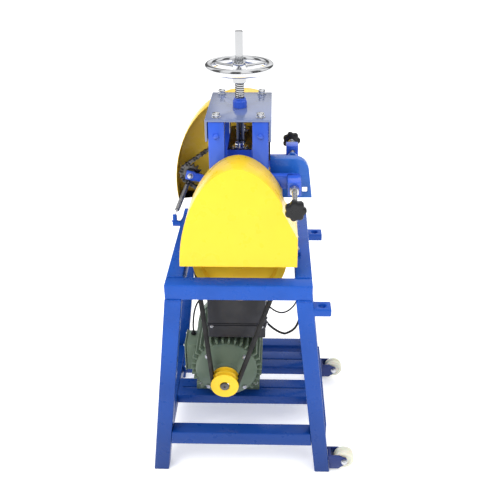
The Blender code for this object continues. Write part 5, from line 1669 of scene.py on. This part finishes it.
    def terminal_box(self, axis: Vector, box: Box) -> None:
        """The terminal box with its lid, four screws and cable gland."""
        lead = node_box("motor_lead")
        low = Vector((box.low.x, lead.centre.y - 0.054, axis.z - self.terminal_height / 2))
        low.y = at(0, 0.012, 0).y - self.terminal_depth / 2
        high = low + Vector((self.terminal_width, self.terminal_depth, self.terminal_height))
        lid = 0.0045
        body = Shape().block(low + Vector((lid, 0.002, 0.002)), high - Vector((0, 0.002, 0.002)))
        shown("terminal_box", body.closed(), motor_green, Body.ROOT, bevel=0.003, segments=3)
        plate = Shape().block(low, Vector((low.x + lid - 0.0006, high.y, high.z)))
        shown("terminal_lid", plate.closed(), motor_green, Body.ROOT, bevel=0.0018, segments=3)
        seats = [(Vector((low.x, y, z)), (-1, 0, 0)) for y in (low.y + 0.008, high.y - 0.008)
                 for z in (low.z + 0.008, high.z - 0.008)]
        Fasteners("terminal_screws", seats, Head.PAN_SCREW, across=0.0068, height=0.0026,
                  washer=0.0075, washer_thickness=0.0004).show()
        gland_nut(Vector((lead.low.x + 0.0028, lead.low.y + 0.0025, high.z)), (0, 0, 1), 0.0054,
                  "terminal_gland")


def gland_nut(seat: Vector, aim: Sequence[float], bore: float, name: str) -> None:
    """A cable gland: a hexagon and a slimmer cap round a cable.

    Args:
        seat: where it stands on its housing.
        aim: where the cable leaves.
        bore: the cable's way through it.
        name: the piece's name.
    """
    place = facing(seat, aim)
    nut = Shape().nut(place, bore + 0.0085, 0.004, bore)
    cap = bore / 2 + 0.0026
    nut.turned([(bore / 2, 0.004), (cap, 0.004), (cap, 0.0065), (cap - 0.0012, 0.0085),
                (bore / 2, 0.0088)], place, 32)
    shown(name, nut.closed(), knob_black, Body.ROOT, bevel=0.0003)


@dataclass
class ElectricalBox:
    """The black box under the head, with its lid seam, screws and louvres."""

    lid_height: float = 0.034
    flange: float = 0.0022
    screw_inset: float = 0.010

    def show(self) -> None:
        """Build the box, its folded lid edge, the screws and the louvres."""
        box = node_box("electrical_box")
        rounded("electrical_box", black_coat, Body.ROOT, 0.0025, 3)
        seam = box.low.z + self.lid_height
        for i, (low, high) in enumerate(((seam, seam + 0.0050), (seam + 0.0078,
                                                               seam + 0.0104))):
            edge = Shape()
            out = self.flange
            edge.block(Vector((box.low.x - out, box.low.y - out, low)),
                       Vector((box.high.x + out, box.high.y + out, high)))
            shown(f"box_lid_edge_{i}", edge.closed(), black_coat, Body.ROOT, bevel=0.0008)
        middle = seam + 0.0025
        seats = []
        for x in (box.low.x + self.screw_inset, box.high.x - self.screw_inset):
            seats.append((Vector((x, box.low.y - self.flange, middle)), (0, -1, 0)))
            seats.append((Vector((x, box.high.y + self.flange, middle)), (0, 1, 0)))
        seats.append((Vector((box.high.x + self.flange, box.low.y + 0.012, middle)), (1, 0, 0)))
        seats.append((Vector((box.low.x - self.flange, box.high.y - 0.012, middle)), (-1, 0, 0)))
        Fasteners("box_screws", seats, Head.PAN_SCREW, across=0.0085, height=0.004,
                  washer=0.0092, washer_thickness=0.0006).show()
        vents = Shape()
        for i in range(9):
            z = box.high.z - 0.060 - i * 0.0085
            vents.block(Vector((box.centre.x - 0.045, box.high.y - 0.0005, z)),
                        Vector((box.centre.x + 0.045, box.high.y + 0.0011, z + 0.0035)))
        shown("box_louvres", vents.closed(), black_coat, Body.ROOT, bevel=0.0006)


@dataclass
class Guards:
    """The yellow sheet guards over the belts and over the chain."""

    edge: float = 0.0009

    def show(self) -> None:
        """Dress both guards and fasten the belt guard."""
        rounded("belt_guard", yellow, Body.ROOT, self.edge, 3)
        rounded("chain_guard", guard_inside, Body.ROOT, self.edge, 3)
        guard = node_box("belt_guard")
        near = node_box("column_near_left").low.y
        seats = [(Vector((spindle_axis.x + side * 0.050, guard.low.y + 0.0022, 0.800)),
                  (0, 1, 0)) for side in (-1, 1)]
        Fasteners("belt_guard_nuts", seats, across=0.010, height=0.005, washer=0.014,
                  finish=zinc).show()
        log.info("belt guard stands %.1f mm before the columns", (near - guard.low.y) * 1000)
        spot = Shape().dome(facing(Vector((guard.centre.x, guard.high.y - 0.010,
                                           guard.high.z - 0.0004)), (0, 0, 1)), 0.006, 0.0014)
        shown("guard_weld_spot", spot.closed(), yellow, Body.ROOT)


@dataclass
class GuideSet:
    """The infeed guides with their screws, nuts and star knobs."""

    screw: float = 0.012
    lobes: int = 7
    knob: float = 0.048
    knob_length: float = 0.018
    hub: float = 0.020
    hub_length: float = 0.008
    lobe_share: float = 0.15
    pitch: float = 0.00175

    def show(self) -> None:
        """Dress the plates, and build the screws, the nuts and the knobs."""
        rounded("near_guide_plate", guide_blue, Body.NEAR_GUIDE, 0.0016, 3)
        rounded("far_guide_plate", guide_blue, Body.FAR_GUIDE, 0.0014, 3)
        self.side("near", Body.NEAR_GUIDE, Body.NEAR_SCREW, -1)
        self.side("far", Body.FAR_GUIDE, Body.FAR_SCREW, 1)

    def side(self, row: str, plate_body: Body, screw_body: Body, out: int) -> None:
        """One screw with its knob, lock nuts and the seat on its plate."""
        screw, knob = node_box(f"{row}_guide_screw"), node_box(f"{row}_star_knob")
        axis = Vector((screw.centre.x, 0.0, screw.centre.z))
        tip = screw.high.y if out < 0 else screw.low.y
        end = screw.low.y if out < 0 else screw.high.y
        core = Shape()
        seat = facing(Vector((axis.x, tip, axis.z)), (0, out, 0))
        core.rod(seat, abs(end - tip), self.screw - 0.0016, 32, 0.0006)
        shown(f"{row}_screw_core", core.closed(), oiled, screw_body, (f"{row}_guide_screw",))
        self.thread(row, seat, abs(end - tip) - 0.012, screw_body)
        face = knob.low.y if out < 0 else knob.high.y
        root = face - out * self.knob_length
        self.star(row, Vector((axis.x, root, axis.z)), out, screw_body)
        column = node_box("column_near_right" if out < 0 else "column_far_right")
        arm = column.low.y if out < 0 else column.high.y
        nuts = Shape()
        place = facing(Vector((axis.x, arm + out * 0.0005, axis.z)), (0, out, 0))
        nuts.nut(place, 0.0205, 0.0095, self.screw + 0.0008)
        place = facing(Vector((axis.x, arm + out * 0.0105, axis.z)), (0, out, 0))
        nuts.nut(place, 0.0195, 0.0065, self.screw + 0.0008)
        shown(f"{row}_arm_nuts", nuts.closed(), zinc, Body.ROOT)
        plate = node_box(f"{row}_guide_plate")
        back = plate.low.y if out < 0 else plate.high.y
        socket = Shape()
        place = facing(Vector((axis.x, back + out * 0.0003, axis.z)), (0, out, 0))
        r = self.screw / 2 + 0.0006
        socket.turned([(r, 0.0), (r + 0.0045, 0.0), (r + 0.0045, 0.008), (r + 0.0035, 0.009),
                       (r, 0.009)], place, 40)
        shown(f"{row}_screw_socket", socket.closed(), guide_blue, plate_body)
        inside = plate.high.y if out < 0 else plate.low.y
        log.info("%s guide plate's cable face is at y %.4f", row, inside)

    def thread(self, row: str, seat: Matrix, length: float, body: Body) -> None:
        """The screw's thread as one helical ridge, grown along a spiral."""
        grow = Growth(f"{row}_screw_tree")
        pitch = grow.size("Pitch", self.pitch)
        reach = grow.size("Length", length)
        radius = grow.size("Ridge radius", self.screw / 2 - 0.00065)
        spiral = grow.add("GeometryNodeCurveSpiral", {
            "Resolution": 24, "Rotations": grow.math("DIVIDE", reach, pitch),
            "Start Radius": radius, "End Radius": radius, "Height": reach}).outputs[0]
        section = grow.add("GeometryNodeCurvePrimitiveCircle", {
            "Resolution": 4, "Radius": grow.math("MULTIPLY", pitch, 0.36)}).outputs[0]
        ridge = grow.add("GeometryNodeCurveToMesh", {"Curve": spiral, "Profile Curve": section,
                                                     "Fill Caps": True}).outputs[0]
        start = seat @ Vector((0.0, 0.0, 0.0006))
        aim = (seat @ Vector((0.0, 0.0, 1.0)) - seat.translation).normalized()
        mesh = grow.grown(grow.spread(grow.source.outputs[0], ridge), bright, [start], [aim])
        shown(f"{row}_screw_thread", mesh, bright, body, angle=70.0)

    def star(self, row: str, root: Vector, out: int, body: Body) -> None:
        """A seven-lobed knob with a crowned face and a steel bush."""
        place = facing(root, (0, out, 0))
        lift, rings = self.knob_length, []
        steps = ((0.0, 0.80), (0.0006, 0.90), (0.0022, 0.965), (0.0045, 1.0),
                 (lift - 0.0055, 1.0), (lift - 0.0026, 0.965), (lift - 0.0010, 0.90),
                 (lift - 0.0002, 0.78), (lift, 0.55), (lift - 0.0004, 0.30))
        for height, share in steps:
            ring = []
            for k in range(112):
                angle = 2 * math.pi * k / 112
                wave = math.cos(self.lobes * angle)
                lobe = 1 - self.lobe_share * (0.5 - 0.5 * wave) ** 1.35 * min(1.0, share)
                reach = self.knob / 2 * share * lobe
                ring.append(place @ Vector((reach * math.cos(angle), reach * math.sin(angle),
                                            height)))
            rings.append(ring)
        shown(f"{row}_knob_star", Shape().lattice(rings, False).closed(), knob_black, body,
              (f"{row}_star_knob",), angle=50.0)
        r, bore = self.hub / 2, self.screw / 2 + 0.0005
        low = -self.hub_length
        bush = Shape().turned([(bore, low), (r - 0.0022, low), (r - 0.001, low + 0.001),
                               (r, 0.0005), (r, 0.0012), (bore, 0.0012)], place, 40)
        shown(f"{row}_knob_bush", bush.closed(), bright, body)


@dataclass
class Cables:
    """The three cables under the head, each held at both ends."""

    control_diameter: float = 0.0045
    supply_diameter: float = 0.0065
    lead_diameter: float = 0.005

    def show(self) -> None:
        """Lay the cables along their routes, and put a gland on each way out."""
        box = node_box("electrical_box")
        wall = node_box("leg_far_right").low.y - 0.0003
        control = [(0.0683, 0.050, 0.352), (0.074, 0.050, 0.352), (0.088, 0.050, 0.341),
                   (0.106, 0.051, 0.3345), (0.124, 0.056, 0.338), (0.142, 0.070, 0.349),
                   (0.158, 0.104, 0.364), (0.169, 0.140, 0.373), (0.172, 0.168, 0.376),
                   (0.172, wall - spindle_axis.y, 0.376)]
        supply = [(0.058, 0.030, 0.3367), (0.058, 0.030, 0.329), (0.068, 0.030, 0.311),
                  (0.085, 0.030, 0.294), (0.104, 0.031, 0.281), (0.121, 0.033, 0.278),
                  (0.146, 0.046, 0.290), (0.164, 0.090, 0.311), (0.176, 0.140, 0.325),
                  (0.178, 0.168, 0.328), (0.178, wall - spindle_axis.y, 0.328)]
        lead = [(-0.0903, 0.030, 0.402), (-0.098, 0.030, 0.402), (-0.114, 0.029, 0.395),
                (-0.129, 0.028, 0.375), (-0.138, 0.027, 0.345), (-0.142, 0.026, 0.310),
                (-0.142, 0.026, 0.292), (-0.142, 0.026, 0.2773)]
        for node, route, diameter in (("control_cable", control, self.control_diameter),
                                      ("supply_cable", supply, self.supply_diameter),
                                      ("motor_lead", lead, self.lead_diameter)):
            path = self.smooth([at(*point) for point in route])
            length = sum((b - a).length for a, b in zip(path, path[1:]))
            log.info("%s is %.0f mm long", node, length * 1000)
            shown(f"{node}_sheath", Shape().tube(path, diameter, 16).closed(), cable_black,
                  Body.ROOT, (node,), angle=60.0)
        gland_nut(Vector((box.high.x, at(0, 0.050, 0).y, 0.352)), (1, 0, 0),
                  self.control_diameter + 0.0006, "control_gland")
        gland_nut(Vector((at(0.058, 0, 0).x, at(0, 0.030, 0).y, box.low.z)), (0, 0, -1),
                  self.supply_diameter + 0.0006, "supply_gland")
        gland_nut(Vector((box.low.x, at(0, 0.030, 0).y, 0.402)), (-1, 0, 0),
                  self.lead_diameter + 0.0006, "lead_gland")

    def smooth(self, knots: Sequence[Vector], steps: int = 72) -> list[Vector]:
        """A smooth curve through a cable's knots, with straight leads at both ends."""
        inner = knots[1:-1]
        padded = [inner[0], *inner, inner[-1]]
        spans, route = len(inner) - 1, [knots[0]]
        for k in range(steps + 1):
            i = min(int(k / steps * spans), spans - 1)
            t = k / steps * spans - i
            a, b, c, d = padded[i:i + 4]
            route.append(b + (c - a) * t / 2 + (a - b * 2.5 + c * 2 - d / 2) * t * t
                         + (b * 1.5 - a / 2 + d / 2 - c * 1.5) * t * t * t)
        return [*route, knots[-1]]


def main() -> None:
    """Build every sub-assembly in order."""
    parts: list[Callable] = [Studio, Stand, Portal, SpindleSet, CarriageSet, Shafts, ChainDrive,
                             BeltDrive, MotorSet, ElectricalBox, Guards, GuideSet, Cables]
    for part in parts:
        log.info("building %s", part.__name__)
        part().show()


if __name__ == "__main__":
    main()
